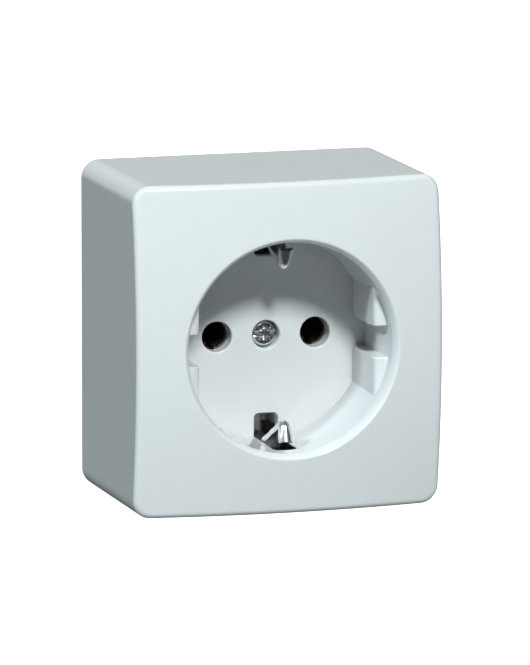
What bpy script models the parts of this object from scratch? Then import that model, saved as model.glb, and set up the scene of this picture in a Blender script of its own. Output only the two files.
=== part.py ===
"""Surface mounted socket with side earth contacts, for Blender 4.5.

Metres, +Z up. The origin is the centre of the back, the wall is the plane y = 0 and
the socket faces -Y, so every y of the part is zero or negative.
"""

import math

import bmesh
import bpy
from mathutils import Matrix, Vector

# Cover, outside
WIDTH = 0.0588
HEIGHT = 0.0618
DOME_RADIUS = 0.160
CORNER_RADIUS = 0.0044
FRONT_FILLET = 0.0020
WALL = 0.0020
FRONT_SKIN = 0.0022

# Plug recess
RECESS_RADIUS = 0.01986
RECESS_DRAFT = 0.0006
RECESS_DEPTH = 0.01745
LIP_RADIUS = 0.0012
CUP_WALL = 0.0018
FLOOR_WALL = 0.0020
PIN_SPACING = 0.0190
PIN_HOLE_RADIUS = 0.00286
HOLE_CHAMFER = 0.00025

# Guide blocks beside the plug
BLOCK_REACH = 0.00311
BLOCK_GAP = 0.0058
BLOCK_SETBACK = 0.0036
BLOCK_EDGE = 0.0009

# Earth windows in the floor and the slots they run into
WINDOW_CLEARANCE = 0.00035
WINDOW_START = 0.0148
WINDOW_CORNER = 0.0008
SLOT_LENGTH = 0.0128

# Earth bracket, one strip with a sprung arm at each end
STRIP = 0.0010
BRACKET_WIDTH = 0.0064
ARM_WIDTH = 0.0039
ARM_APEX_WIDTH = 0.0022
ARM_TIP_WIDTH = 0.0029
ARM_APEX = 0.0149
ARM_APEX_HEIGHT = 0.01115
ARM_TIP_INSET = 0.00126
ARM_TIP_FORWARD = 0.0014
ARM_KNEE_HEIGHT = 0.00165
ARM_CAMBER = 0.0008
ARM_CROWN_BEND = 0.0010
ARM_KNEE_BEND = 0.0030
ARM_FOOT_BEND = 0.0012
LEVEL_BEHIND_FLOOR = 0.0080

# Clearances
GAP = 0.0003
SHANK_CLEARANCE = 0.0002

# Base plate and insert
BASE_THICKNESS = 0.0025
RIM_HEIGHT = 0.0035
RIM_WALL = 0.0012
RETAINER_THICKNESS = 0.0015
INSERT_SIDE_WALL = 0.0014
INSERT_END_WALL = 0.0020
INSERT_WEB = 0.0010
INSERT_CORNER = 0.0030
FIXING_SLOT_WIDTH = 0.0042
FIXING_SLOT_LENGTH = 0.0070
FIXING_INSET_X = 0.0066
FIXING_INSET_Z = 0.0058
ENTRY_WIDTH = 0.0130
ENTRY_HEIGHT = 0.0080
ENTRY_INSET_X = 0.0146
ENTRY_INSET_Z = 0.0056
KNOCKOUT_WIDTH = 0.0140
KNOCKOUT_DEPTH = 0.0120
KNOCKOUT_SKIN = 0.0008
RIB = 0.0012
SEAT_RIB_DEPTH = 0.0013

# Live contacts
SLEEVE_BORE = 0.0023
SLEEVE_WALL = 0.0007
SLEEVE_FLARE = 0.0004
SLEEVE_SLIT = 0.0010
SLEEVE_END_ROOM = 0.0019
SPRING_WIRE = 0.0005
SPRING_WIDTH = 0.0034

# Terminals
TERMINAL_X = 0.0112
TERMINAL_Z = 0.0120
STRAP_WIDTH = 0.0078
CLAMP_WIDTH = 0.0064
CLAMP_THICKNESS = 0.0010
CLAMP_LIP = 0.0007
CLAMP_TRAVEL = 0.0021
CLAMP_PLAY = 0.00045
WIRE_CHANNEL = 0.0046
TERMINAL_SHANK = 0.00175
TERMINAL_HEAD = 0.0029
TERMINAL_HEAD_HEIGHT = 0.0020
TERMINAL_END_ROOM = 0.0008

# Cover screw, its washer and its threaded bush
COVER_SHANK = 0.0015
COVER_HEAD = 0.0024
COVER_HEAD_HEIGHT = 0.0016
COVER_HEAD_SETBACK = 0.0010
COVER_HEAD_CLEARANCE = 0.00025
BOSS_WALL = 0.0016
BOSS_SEAT = 0.0021
WASHER_RADIUS = 0.0029
WASHER_THICKNESS = 0.0009
BUSH_RADIUS = 0.0030
BUSH_NECK = 0.0021
BUSH_BODY = 0.00405
BUSH_FLOOR = 0.0021
RIVET_RIM = 0.0004

# Rivets and insert screws
RIVET_Z = 0.0125
RIVET_SHANK = 0.0012
RIVET_HEAD = 0.0020
INSERT_SCREW_WALL = 0.0013
INSERT_SCREW_SHANK = 0.00125
INSERT_SCREW_HEAD = 0.0023
INSERT_SCREW_HEAD_HEIGHT = 0.0018
INSERT_SCREW_SEAT = 0.0022
BASE_BOSS = 0.0026
BASE_BOSS_HEIGHT = 0.0040
SCREW_END_WALL = 0.0010
SLOT_CUT = 0.0008
SLOT_CUT_DEPTH = 0.0008

# Facets
SIDE_STEPS = 7
CORNER_STEPS = 6
RING = 4 * (2 * SIDE_STEPS + CORNER_STEPS)
ROUND = 28
SMALL_ROUND = 20
PAST = 0.0010

# Planes along y that several pieces share
BASE_FRONT = -BASE_THICKNESS
RETAINER_BACK = BASE_FRONT - GAP
RETAINER_FRONT = RETAINER_BACK - RETAINER_THICKNESS
INSERT_BACK = RETAINER_FRONT - GAP
BUSH_BACK = INSERT_BACK - BUSH_FLOOR - GAP
BRACKET_BACK = BUSH_BACK - BUSH_BODY - GAP
BRACKET_FRONT = BRACKET_BACK - STRIP
FLOOR_BACK = BRACKET_FRONT - LEVEL_BEHIND_FLOOR
FLOOR_FRONT = FLOOR_BACK - FLOOR_WALL
RIM_TOP = FLOOR_FRONT - RECESS_DEPTH
LIP_CENTRE = RECESS_RADIUS + LIP_RADIUS
DOME_CENTRE = RIM_TOP + math.sqrt(DOME_RADIUS**2 - LIP_CENTRE**2)
INSERT_FRONT = FLOOR_BACK + GAP
HEAD_TOP = FLOOR_FRONT + COVER_HEAD_SETBACK
HEAD_UNDER = HEAD_TOP + COVER_HEAD_HEIGHT
BOSS_SHOULDER = HEAD_UNDER + GAP
BOSS_BACK = BOSS_SHOULDER + BOSS_SEAT
BOSS_RADIUS = COVER_HEAD + COVER_HEAD_CLEARANCE + BOSS_WALL
BUSH_FRONT = BRACKET_FRONT - GAP - RIVET_RIM
WASHER_BACK = BUSH_FRONT - GAP
WASHER_FRONT = WASHER_BACK - WASHER_THICKNESS
CLAMP_BACK = BRACKET_FRONT - GAP - CLAMP_LIP - CLAMP_TRAVEL
CLAMP_FRONT = CLAMP_BACK - CLAMP_THICKNESS
TERMINAL_UNDER = CLAMP_FRONT - GAP
SHANK_HOLE_END = INSERT_BACK - RIB
TERMINAL_END = SHANK_HOLE_END - TERMINAL_END_ROOM - CLAMP_TRAVEL
BASE_BOSS_FRONT = BASE_FRONT - BASE_BOSS_HEIGHT
INSERT_SCREW_SEAT_Y = BASE_BOSS_FRONT - GAP - INSERT_SCREW_SEAT

# Sizes across the wall that several pieces share
FLOOR_RADIUS = RECESS_RADIUS - RECESS_DRAFT
CUP_RADIUS = FLOOR_RADIUS + CUP_WALL
BLOCK_FLAT = RECESS_RADIUS - BLOCK_REACH
WINDOW_WIDTH = ARM_WIDTH + 2 * WINDOW_CLEARANCE
ARM_TIP = FLOOR_RADIUS - ARM_TIP_INSET
ARM_OUT = CUP_RADIUS - GAP
INNER_X = WIDTH / 2 - WALL
INNER_Z = HEIGHT / 2 - WALL
PLATE_X = INNER_X - GAP
PLATE_Z = INNER_Z - GAP
CHANNEL_HALF = BRACKET_WIDTH / 2 + GAP
SLEEVE_RADIUS = SLEEVE_BORE + SLEEVE_WALL
CHAMBER_RADIUS = SLEEVE_RADIUS + SPRING_WIRE + 2 * GAP
HEAD_HOLE = INSERT_SCREW_HEAD + GAP
INSERT_SCREW_X = PIN_SPACING / 2 + CHAMBER_RADIUS + INSERT_SCREW_WALL + HEAD_HOLE
INSERT_X = INSERT_SCREW_X + HEAD_HOLE + INSERT_SIDE_WALL
INSERT_Z = TERMINAL_Z + STRAP_WIDTH / 2 + GAP + INSERT_END_WALL
CLAMP_POCKET = CLAMP_WIDTH / 2 + CLAMP_PLAY
TAB_HALF = STRAP_WIDTH / 2 - STRIP
FIXING_X = PLATE_X - FIXING_INSET_X
FIXING_Z = PLATE_Z - FIXING_INSET_Z
ENTRY_X = PLATE_X - ENTRY_INSET_X
ENTRY_Z = PLATE_Z - ENTRY_INSET_Z


def clear_scene():
    for item in list(bpy.data.objects):
        bpy.data.objects.remove(item, do_unlink=True)


def make_material(name, colour, roughness, metallic):
    material = bpy.data.materials.new(name)
    material.use_nodes = True
    shader = material.node_tree.nodes["Principled BSDF"]
    shader.inputs["Base Color"].default_value = (*colour, 1.0)
    shader.inputs["Roughness"].default_value = roughness
    shader.inputs["Metallic"].default_value = metallic
    return material


def add_object(name, bm, material=None, sharp_deg=35.0, origin=(0, 0, 0)):
    """Turns a bmesh in world places into an object whose own origin is the given point."""
    bmesh.ops.remove_doubles(bm, verts=bm.verts, dist=1e-7)
    bmesh.ops.recalc_face_normals(bm, faces=bm.faces)
    bmesh.ops.translate(bm, verts=bm.verts, vec=-Vector(origin))
    mesh = bpy.data.meshes.new(name)
    bm.to_mesh(mesh)
    bm.free()
    mesh.shade_smooth()
    mesh.set_sharp_from_angle(angle=math.radians(sharp_deg))
    item = bpy.data.objects.new(name, mesh)
    item.location = origin
    bpy.context.scene.collection.objects.link(item)
    if material:
        mesh.materials.append(material)
    return item


def boolean(target, tool, operation):
    """Adds a Boolean modifier, and hides the tool that it uses."""
    modifier = target.modifiers.new(tool.name, "BOOLEAN")
    modifier.operation = operation
    modifier.solver = "EXACT"
    modifier.object = tool
    tool.hide_render = True
    tool.display_type = "WIRE"


def cut(target, bm, name):
    boolean(target, add_object(name, bm), "DIFFERENCE")


def join(target, bm, name):
    boolean(target, add_object(name, bm), "UNION")


def rounded_rect(half_x, half_z, radius, side_steps=1, corner_steps=4):
    """Points of a rounded rectangle in x and z, anticlockwise from the middle of the +x side."""
    radius = min(radius, 0.98 * half_x, 0.98 * half_z)
    points = []
    for quarter in range(4):
        a0 = quarter * math.pi / 2
        along_x = quarter % 2 == 0
        near, far = (half_x, half_z) if along_x else (half_z, half_x)
        for step in range(side_steps):
            points.append(turned(near, (far - radius) * step / side_steps, a0))
        for step in range(corner_steps):
            a = math.pi / 2 * step / corner_steps
            u = near - radius + radius * math.cos(a)
            v = far - radius + radius * math.sin(a)
            points.append(turned(u, v, a0))
        for step in range(side_steps):
            u = (near - radius) * (1 - step / side_steps)
            points.append(turned(u, far, a0))
    return points


def turned(u, v, angle):
    c, s = math.cos(angle), math.sin(angle)
    return (u * c - v * s, u * s + v * c)


def circle(radius, steps, centre=(0.0, 0.0), start=0.0):
    angles = [start + 2 * math.pi * k / steps for k in range(steps)]
    return [(centre[0] + radius * math.cos(a), centre[1] + radius * math.sin(a)) for a in angles]


def prism(bm, outline, y0, y1):
    """A flat outline in x and z, extruded along y."""
    face = bm.faces.new([bm.verts.new((x, y0, z)) for x, z in outline])
    grown = bmesh.ops.extrude_face_region(bm, geom=[face])
    verts = [v for v in grown["geom"] if isinstance(v, bmesh.types.BMVert)]
    bmesh.ops.translate(bm, verts=verts, vec=(0, y1 - y0, 0))
    return bm


def box(bm, x0, x1, y0, y1, z0, z1):
    return prism(bm, [(x0, z0), (x1, z0), (x1, z1), (x0, z1)], y0, y1)


def turning(bm, profile, centre=(0.0, 0.0), steps=ROUND):
    """A closed profile of (radius, y) points, spun about an axis along y."""
    verts = [bm.verts.new((centre[0] + r, y, centre[1])) for r, y in profile]
    edges = [bm.edges.new((verts[k - 1], verts[k])) for k in range(len(verts))]
    axis_point = (centre[0], 0, centre[1])
    bmesh.ops.spin(bm, geom=verts + edges, cent=axis_point, axis=(0, 1, 0), angle=2 * math.pi,
                   steps=steps, use_merge=True)
    bmesh.ops.remove_doubles(bm, verts=bm.verts, dist=1e-7)
    bmesh.ops.dissolve_degenerate(bm, dist=1e-7, edges=bm.edges)
    return bm


def disc(bm, radius, y0, y1, centre=(0.0, 0.0), steps=ROUND):
    return prism(bm, circle(radius, steps, centre), y0, y1)


def loft(rings, closed=False):
    """Skins a list of rings of equal length, with a flat cap at each end unless it is closed."""
    bm = bmesh.new()
    loops = [[bm.verts.new(point) for point in ring] for ring in rings]
    pairs = list(zip(loops, loops[1:]))
    if closed:
        pairs.append((loops[-1], loops[0]))
    for low, high in pairs:
        for k in range(len(low)):
            bm.faces.new((low[k - 1], low[k], high[k], high[k - 1]))
    if not closed:
        bm.faces.new(loops[0])
        bm.faces.new(list(reversed(loops[-1])))
    return bm


def dome(x, z, skin=0.0):
    return DOME_CENTRE - math.sqrt((DOME_RADIUS - skin) ** 2 - x * x - z * z)


def ring_at(outline, y):
    return [(x, y, z) for x, z in outline]


def mix(a, b, t):
    return [(p[0] + (q[0] - p[0]) * t, p[1] + (q[1] - p[1]) * t) for p, q in zip(a, b)]


def domed(outline, skin=0.0):
    return [(x, dome(x, z, skin), z) for x, z in outline]


def cover_outline(inset):
    return rounded_rect(WIDTH / 2 - inset, HEIGHT / 2 - inset, CORNER_RADIUS - inset,
                        SIDE_STEPS, CORNER_STEPS)


def front_fillet_rings(steps=5):
    """Rings that roll the straight sides over into the domed front."""
    rings = []
    for step in range(steps):
        share = step / (steps - 1)
        ring = []
        edge = cover_outline(0.0)
        inner = cover_outline(FRONT_FILLET)
        for (ex, ez), (ix, iz) in zip(edge, inner):
            out = Vector((ex - ix, ez - iz)).normalized()
            slope = math.asin((ix * out.x + iz * out.y) / DOME_RADIUS)
            angle = share * (math.pi / 2 - slope)
            inset = FRONT_FILLET * math.sin(slope)
            tangent = (ix + out.x * inset, iz + out.y * inset)
            centre_y = dome(*tangent) + FRONT_FILLET * math.cos(slope)
            reach = FRONT_FILLET * math.cos(angle)
            ring.append((ix + out.x * reach, centre_y - FRONT_FILLET * math.sin(angle),
                         iz + out.y * reach))
        rings.append(ring)
    return rings


def lip_rings(steps=5):
    """Rings that roll the domed front over into the wall of the recess."""
    slope = math.asin(LIP_CENTRE / DOME_RADIUS)
    centre_y = RIM_TOP + LIP_RADIUS
    rings = []
    for step in range(steps):
        a = -slope + (math.pi / 2 + slope) * step / (steps - 1)
        outline = circle(LIP_CENTRE - LIP_RADIUS * math.sin(a), RING)
        rings.append(ring_at(outline, centre_y - LIP_RADIUS * math.cos(a)))
    return rings


def cover_shell():
    """The cap with its cup, as one skin from the recess floor round the back edge to its rear."""
    fillet = front_fillet_rings()
    lip = lip_rings()
    outer_edge = [(x, z) for x, _, z in fillet[-1]]
    lip_edge = [(x, z) for x, _, z in lip[0]]
    front = [domed(mix(outer_edge, lip_edge, t)) for t in (0.2, 0.42, 0.64, 0.84)]
    outside = [ring_at(cover_outline(0.0), 0.0)] + fillet + front + lip
    outside.append(ring_at(circle(FLOOR_RADIUS, RING), FLOOR_FRONT))

    cup_mouth = LIP_CENTRE - LIP_RADIUS + CUP_WALL
    inner_wall = cover_outline(WALL)
    inner_front = rounded_rect(INNER_X - FRONT_FILLET / 2, INNER_Z - FRONT_FILLET / 2,
                               CORNER_RADIUS - WALL, SIDE_STEPS, CORNER_STEPS)
    cup_edge = circle(cup_mouth, RING)
    wall_top = [(x, dome(u, w, FRONT_SKIN) + FRONT_FILLET / 2, z)
                for (x, z), (u, w) in zip(inner_wall, inner_front)]
    inside = [ring_at(circle(CUP_RADIUS, RING), FLOOR_BACK)]
    inside += [domed(mix(cup_edge, inner_front, t), FRONT_SKIN) for t in (0.0, 0.45, 1.0)]
    inside += [wall_top, ring_at(inner_wall, 0.0)]
    return loft(list(reversed(outside)) + list(reversed(inside)))


def guide_block(side, half):
    """One of the four blocks that flank the plug: a segment of the cup behind a flat."""
    outer = CUP_RADIUS - CUP_WALL / 3
    start = BLOCK_GAP / 2
    a0 = math.asin(start / outer)
    a1 = math.acos(BLOCK_FLAT / outer)
    arc = [(outer * math.cos(a0 + (a1 - a0) * k / 8), outer * math.sin(a0 + (a1 - a0) * k / 8))
           for k in range(9)]
    outline = [(side * x, half * z) for x, z in [(BLOCK_FLAT, start)] + arc]
    front = RIM_TOP + BLOCK_SETBACK
    bm = prism(bmesh.new(), outline, FLOOR_FRONT + FLOOR_WALL / 2, front)
    edges = [e for e in bm.edges if block_edge_shows(e, front, start)]
    bmesh.ops.bevel(bm, geom=edges, offset=BLOCK_EDGE, segments=3, profile=0.5,
                    affect="EDGES", clamp_overlap=True)
    return bm


def block_edge_shows(edge, front, start):
    """True for the edges of a guide block that face the plug."""
    a, b = (v.co for v in edge.verts)
    flat = all(abs(abs(p.x) - BLOCK_FLAT) < 1e-6 for p in (a, b))
    side = all(abs(abs(p.z) - start) < 1e-6 for p in (a, b))
    at_front = all(abs(p.y - front) < 1e-6 for p in (a, b))
    return (flat and at_front) or (side and at_front) or (flat and side)


def cover_ribs(cover):
    """Webs from the cup to the corners, and ribs that stand on the base plate's rim."""
    reach = math.hypot(INNER_X, INNER_Z)
    tilt = math.atan2(INNER_Z, INNER_X)
    root = CUP_RADIUS - CUP_WALL / 2
    for k in range(4):
        angle = (tilt, math.pi - tilt, math.pi + tilt, -tilt)[k]
        bm = box(bmesh.new(), root, reach - CORNER_RADIUS / 2 + WALL / 2, dome(0, LIP_CENTRE) + WALL * 3,
                 FLOOR_FRONT - RECESS_DEPTH / 3, -RIB / 2, RIB / 2)
        bmesh.ops.rotate(bm, verts=bm.verts, cent=(0, 0, 0), matrix=Matrix.Rotation(-angle, 3, "Y"))
        join(cover, bm, f"corner_web_tool_{k}")
    rib_end = BASE_FRONT - RIM_HEIGHT - GAP
    rib_start = FLOOR_FRONT
    bm = bmesh.new()
    for side in (-1, 1):
        for half in (-1, 1):
            x = side * (INNER_X - SEAT_RIB_DEPTH / 2 + WALL / 4)
            grow = SEAT_RIB_DEPTH / 2 + WALL / 4
            z = half * INNER_Z / 2
            box(bm, x - grow, x + grow, rib_start, rib_end, z - RIB / 2, z + RIB / 2)
            x = side * INNER_X / 2
            z = half * (INNER_Z - SEAT_RIB_DEPTH / 2 + WALL / 4)
            box(bm, x - RIB / 2, x + RIB / 2, rib_start, rib_end, z - grow, z + grow)
    join(cover, bm, "seat_rib_tool")


def cover_cuts(cover):
    """Pin holes, screw hole, earth windows, wall slots and thinned knock-outs."""
    bm = bmesh.new()
    for side in (-1, 1):
        turning(bm, hole_profile(PIN_HOLE_RADIUS), (side * PIN_SPACING / 2, 0.0), ROUND)
    cut(cover, bm, "pin_hole_tool")
    head = COVER_HEAD + COVER_HEAD_CLEARANCE
    shank = COVER_SHANK + SHANK_CLEARANCE
    profile = [(0, FLOOR_FRONT - PAST), (head + HOLE_CHAMFER, FLOOR_FRONT - PAST),
               (head + HOLE_CHAMFER, FLOOR_FRONT), (head, FLOOR_FRONT + HOLE_CHAMFER),
               (head, BOSS_SHOULDER), (shank, BOSS_SHOULDER), (shank, BOSS_BACK + PAST),
               (0, BOSS_BACK + PAST)]
    cut(cover, turning(bmesh.new(), profile), "screw_hole_tool")
    bm = bmesh.new()
    for half in (-1, 1):
        middle = (WINDOW_START + CUP_RADIUS + PAST) / 2
        length = CUP_RADIUS + PAST - WINDOW_START
        outline = rounded_rect(WINDOW_WIDTH / 2, length / 2, WINDOW_CORNER, 1, 4)
        prism(bm, [(x, half * (z + middle)) for x, z in outline],
              FLOOR_FRONT - GAP, FLOOR_BACK + PAST)
    cut(cover, bm, "window_tool")
    bm = bmesh.new()
    front = FLOOR_FRONT - SLOT_LENGTH
    back = FLOOR_BACK + PAST / 2
    outline = rounded_rect(WINDOW_WIDTH / 2, (back - front) / 2 + PAST, WINDOW_CORNER, 1, 4)
    for half in (-1, 1):
        z0 = half * (WINDOW_START + FLOOR_RADIUS) / 2
        z1 = half * (CUP_RADIUS + CUP_WALL)
        face = bm.faces.new([bm.verts.new((x, y + (back + front) / 2 + PAST, z0)) for x, y in outline])
        grown = bmesh.ops.extrude_face_region(bm, geom=[face])
        verts = [v for v in grown["geom"] if isinstance(v, bmesh.types.BMVert)]
        bmesh.ops.translate(bm, verts=verts, vec=(0, 0, z1 - z0))
    cut(cover, bm, "wall_slot_tool")
    bm = bmesh.new()
    for half in (-1, 1):
        z0 = half * (INNER_Z - WALL)
        z1 = half * (HEIGHT / 2 - KNOCKOUT_SKIN)
        y0 = BASE_FRONT - RIM_HEIGHT - KNOCKOUT_DEPTH
        box(bm, -KNOCKOUT_WIDTH / 2, KNOCKOUT_WIDTH / 2, y0, BASE_FRONT, min(z0, z1), max(z0, z1))
    cut(cover, bm, "knockout_tool")


def hole_profile(radius):
    """A round hole through the recess floor with a small chamfer at its mouth."""
    mouth = radius + HOLE_CHAMFER
    return [(0, FLOOR_FRONT - PAST), (mouth, FLOOR_FRONT - PAST), (mouth, FLOOR_FRONT),
            (radius, FLOOR_FRONT + HOLE_CHAMFER), (radius, FLOOR_BACK + PAST),
            (0, FLOOR_BACK + PAST)]


def make_cover(material):
    cover = add_object("cover", cover_shell(), material, 30.0)
    for side in (-1, 1):
        for half in (-1, 1):
            join(cover, guide_block(side, half), f"guide_block_tool_{side}_{half}")
    boss = disc(bmesh.new(), BOSS_RADIUS, (FLOOR_FRONT + FLOOR_BACK) / 2, BOSS_BACK)
    join(cover, boss, "screw_boss_tool")
    cover_ribs(cover)
    cover_cuts(cover)
    return cover


def make_base_plate(material):
    outline = rounded_rect(PLATE_X, PLATE_Z, CORNER_RADIUS - WALL - GAP, 1, 4)
    base = add_object("base_plate", prism(bmesh.new(), outline, 0.0, BASE_FRONT), material)
    inner = rounded_rect(PLATE_X - RIM_WALL, PLATE_Z - RIM_WALL, CORNER_RADIUS - WALL - GAP, 1, 4)
    low = BASE_FRONT + BASE_THICKNESS / 2
    high = BASE_FRONT - RIM_HEIGHT
    rim = loft([ring_at(outline, low), ring_at(outline, high), ring_at(inner, high),
                ring_at(inner, low)], closed=True)
    join(base, rim, "rim_tool")
    bm = bmesh.new()
    for side in (-1, 1):
        disc(bm, BASE_BOSS, low, BASE_BOSS_FRONT, (side * INSERT_SCREW_X, 0.0), SMALL_ROUND)
    join(base, bm, "screw_boss_base_tool")
    bm = bmesh.new()
    for side in (-1, 1):
        radius = INSERT_SCREW_SHANK + SHANK_CLEARANCE
        disc(bm, radius, -SCREW_END_WALL, BASE_BOSS_FRONT - PAST, (side * INSERT_SCREW_X, 0.0),
             SMALL_ROUND)
        slot = rounded_rect(FIXING_SLOT_LENGTH / 2, FIXING_SLOT_WIDTH / 2, FIXING_SLOT_WIDTH / 2, 1, 5)
        prism(bm, [(x + side * FIXING_X, z - side * FIXING_Z) for x, z in slot],
              PAST, BASE_FRONT - PAST)
        entry = rounded_rect(ENTRY_WIDTH / 2, ENTRY_HEIGHT / 2, ENTRY_HEIGHT / 4, 1, 4)
        prism(bm, [(x + side * ENTRY_X, z + side * ENTRY_Z) for x, z in entry],
              PAST, BASE_FRONT - PAST)
    cut(base, bm, "base_hole_tool")
    bm = bmesh.new()
    for half in (-1, 1):
        z = half * (PLATE_Z - RIM_WALL / 2)
        box(bm, -KNOCKOUT_WIDTH / 2, KNOCKOUT_WIDTH / 2, high - PAST, BASE_FRONT,
            z - RIM_WALL, z + RIM_WALL)
    cut(base, bm, "rim_notch_tool")
    return base


def live_terminals():
    return ((-TERMINAL_X, -TERMINAL_Z), (TERMINAL_X, -TERMINAL_Z))


def earth_terminal():
    return (TERMINAL_X, TERMINAL_Z)


def strap_outline(side, grow=0.0):
    """The live strap: a round end on the sleeve and a straight run down to the terminal."""
    half = STRAP_WIDTH / 2 + grow
    sleeve = PIN_SPACING / 2
    low = TERMINAL_Z + STRAP_WIDTH / 2 + grow
    neck = SLEEVE_RADIUS + SLEEVE_WALL + grow
    points = [(TERMINAL_X - half, -low), (TERMINAL_X + half, -low),
              (TERMINAL_X + half, -TERMINAL_Z + half), (sleeve + neck, -SLEEVE_RADIUS)]
    points += [(sleeve + neck * math.cos(a), neck * math.sin(a))
               for a in [math.pi * k / 8 for k in range(9)]]
    points += [(sleeve - neck, -SLEEVE_RADIUS), (TERMINAL_X - half, -TERMINAL_Z + half)]
    return [(side * x, z) for x, z in points]


def cut_contact_cavities(insert, front, rear):
    """The two chambers of the sleeves, and the cavities of their straps, open at the rear."""
    bm = bmesh.new()
    web = INSERT_FRONT + INSERT_WEB
    for side in (-1, 1):
        profile = [(0, front), (PIN_HOLE_RADIUS, front), (PIN_HOLE_RADIUS, web),
                   (CHAMBER_RADIUS, web), (CHAMBER_RADIUS, rear), (0, rear)]
        turning(bm, profile, (side * PIN_SPACING / 2, 0.0), ROUND)
    cut(insert, bm, "chamber_tool")
    bm = bmesh.new()
    for side in (-1, 1):
        prism(bm, strap_outline(side, GAP), BRACKET_FRONT - GAP, rear)
    cut(insert, bm, "strap_cavity_tool")


def cut_terminal_pockets(insert, front):
    """Pockets for the clamps, the earth tab and its screw, and the channels of the wires."""
    under_strap = BRACKET_FRONT - GAP / 2
    under_bracket = BRACKET_BACK + GAP
    bm = bmesh.new()
    for x, z in live_terminals():
        box(bm, x - CLAMP_POCKET, x + CLAMP_POCKET, front, under_strap,
            z - CLAMP_POCKET, z + CLAMP_POCKET)
    cut(insert, bm, "live_pocket_tool")
    x, z = earth_terminal()
    bm = box(bmesh.new(), x - CLAMP_POCKET, x + CLAMP_POCKET, front, under_bracket,
             z - CLAMP_POCKET, z + CLAMP_POCKET)
    cut(insert, bm, "earth_pocket_tool")
    bm = disc(bmesh.new(), TERMINAL_SHANK + 2 * GAP, BRACKET_FRONT, SHANK_HOLE_END, (x, z), SMALL_ROUND)
    cut(insert, bm, "earth_shank_tool")
    reach = TAB_HALF + GAP
    cut(insert, box(bmesh.new(), 0.0, x, front, under_bracket, z - reach, z + reach), "earth_tab_tool")
    bm = bmesh.new()
    half = WIRE_CHANNEL / 2
    for x, z in live_terminals() + (earth_terminal(),):
        outer = math.copysign(INSERT_Z + PAST, z)
        box(bm, x - half, x + half, CLAMP_BACK - GAP, under_strap, min(z, outer), max(z, outer))
    cut(insert, bm, "wire_channel_tool")


def cut_insert_fastenings(insert, front, rear):
    """Recesses for the cover's boss and the bush, and holes for the rivets and base screws."""
    cut(insert, disc(bmesh.new(), BOSS_RADIUS + GAP, front, BOSS_BACK + GAP), "boss_recess_tool")
    cut(insert, disc(bmesh.new(), BUSH_RADIUS + GAP, BRACKET_FRONT, BUSH_BACK + GAP),
        "bush_recess_tool")
    bm = bmesh.new()
    for half in (-1, 1):
        disc(bm, RIVET_SHANK + GAP, BRACKET_FRONT, rear, (0.0, half * RIVET_Z), SMALL_ROUND)
    cut(insert, bm, "rivet_hole_tool")
    bm = bmesh.new()
    shank = INSERT_SCREW_SHANK + SHANK_CLEARANCE
    boss = BASE_BOSS + GAP
    boss_floor = BASE_BOSS_FRONT - GAP
    for side in (-1, 1):
        profile = [(0, front), (HEAD_HOLE, front), (HEAD_HOLE, INSERT_SCREW_SEAT_Y),
                   (shank, INSERT_SCREW_SEAT_Y), (shank, boss_floor), (boss, boss_floor),
                   (boss, rear), (0, rear)]
        turning(bm, profile, (side * INSERT_SCREW_X, 0.0), SMALL_ROUND)
    cut(insert, bm, "insert_screw_tool")


def make_insert(material):
    outline = rounded_rect(INSERT_X, INSERT_Z, INSERT_CORNER, 1, 4)
    insert = add_object("insert_body", prism(bmesh.new(), outline, INSERT_BACK, INSERT_FRONT), material)
    front, rear = INSERT_FRONT - PAST, INSERT_BACK + PAST
    cut_contact_cavities(insert, front, rear)
    channel = box(bmesh.new(), -CHANNEL_HALF, CHANNEL_HALF, front, BRACKET_BACK + GAP,
                  -INSERT_Z - PAST, INSERT_Z + PAST)
    cut(insert, channel, "channel_tool")
    cut_terminal_pockets(insert, front)
    cut_insert_fastenings(insert, front, rear)
    return insert


def make_retainer(material):
    outline = rounded_rect(INSERT_X - GAP, INSERT_Z - GAP, INSERT_CORNER, 1, 4)
    plate = add_object("contact_retainer", prism(bmesh.new(), outline, RETAINER_BACK, RETAINER_FRONT),
                       material)
    bm = bmesh.new()
    for side in (-1, 1):
        disc(bm, BASE_BOSS + GAP, RETAINER_BACK + PAST, RETAINER_FRONT - PAST,
             (side * INSERT_SCREW_X, 0.0), SMALL_ROUND)
    for half in (-1, 1):
        hole = RIVET_SHANK + GAP
        sink = RIVET_HEAD + GAP
        floor = (RETAINER_BACK + RETAINER_FRONT) / 2
        profile = [(0, RETAINER_FRONT - PAST), (hole, RETAINER_FRONT - PAST), (hole, floor),
                   (sink, floor), (sink, RETAINER_BACK + PAST), (0, RETAINER_BACK + PAST)]
        turning(bm, profile, (0.0, half * RIVET_Z), SMALL_ROUND)
    cut(plate, bm, "retainer_hole_tool")
    return plate


def filleted(points, radii, steps=5):
    """A polyline in y and z whose inner corners are rounded by arcs of the given radii."""
    path = [Vector(points[0])]
    for k in range(1, len(points) - 1):
        here = Vector(points[k])
        back = (Vector(points[k - 1]) - here).normalized()
        on = (Vector(points[k + 1]) - here).normalized()
        half = math.acos(max(-1.0, min(1.0, back.dot(on)))) / 2
        reach = radii[k - 1] / math.tan(half)
        start, end = here + back * reach, here + on * reach
        centre = here + (back + on).normalized() * (radii[k - 1] / math.sin(half))
        a, b = start - centre, end - centre
        sweep = a.angle_signed(b)
        for step in range(steps + 1):
            turn = Matrix.Rotation(-sweep * step / steps, 2)
            path.append(centre + turn @ a)
    path.append(Vector(points[-1]))
    return path


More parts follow.
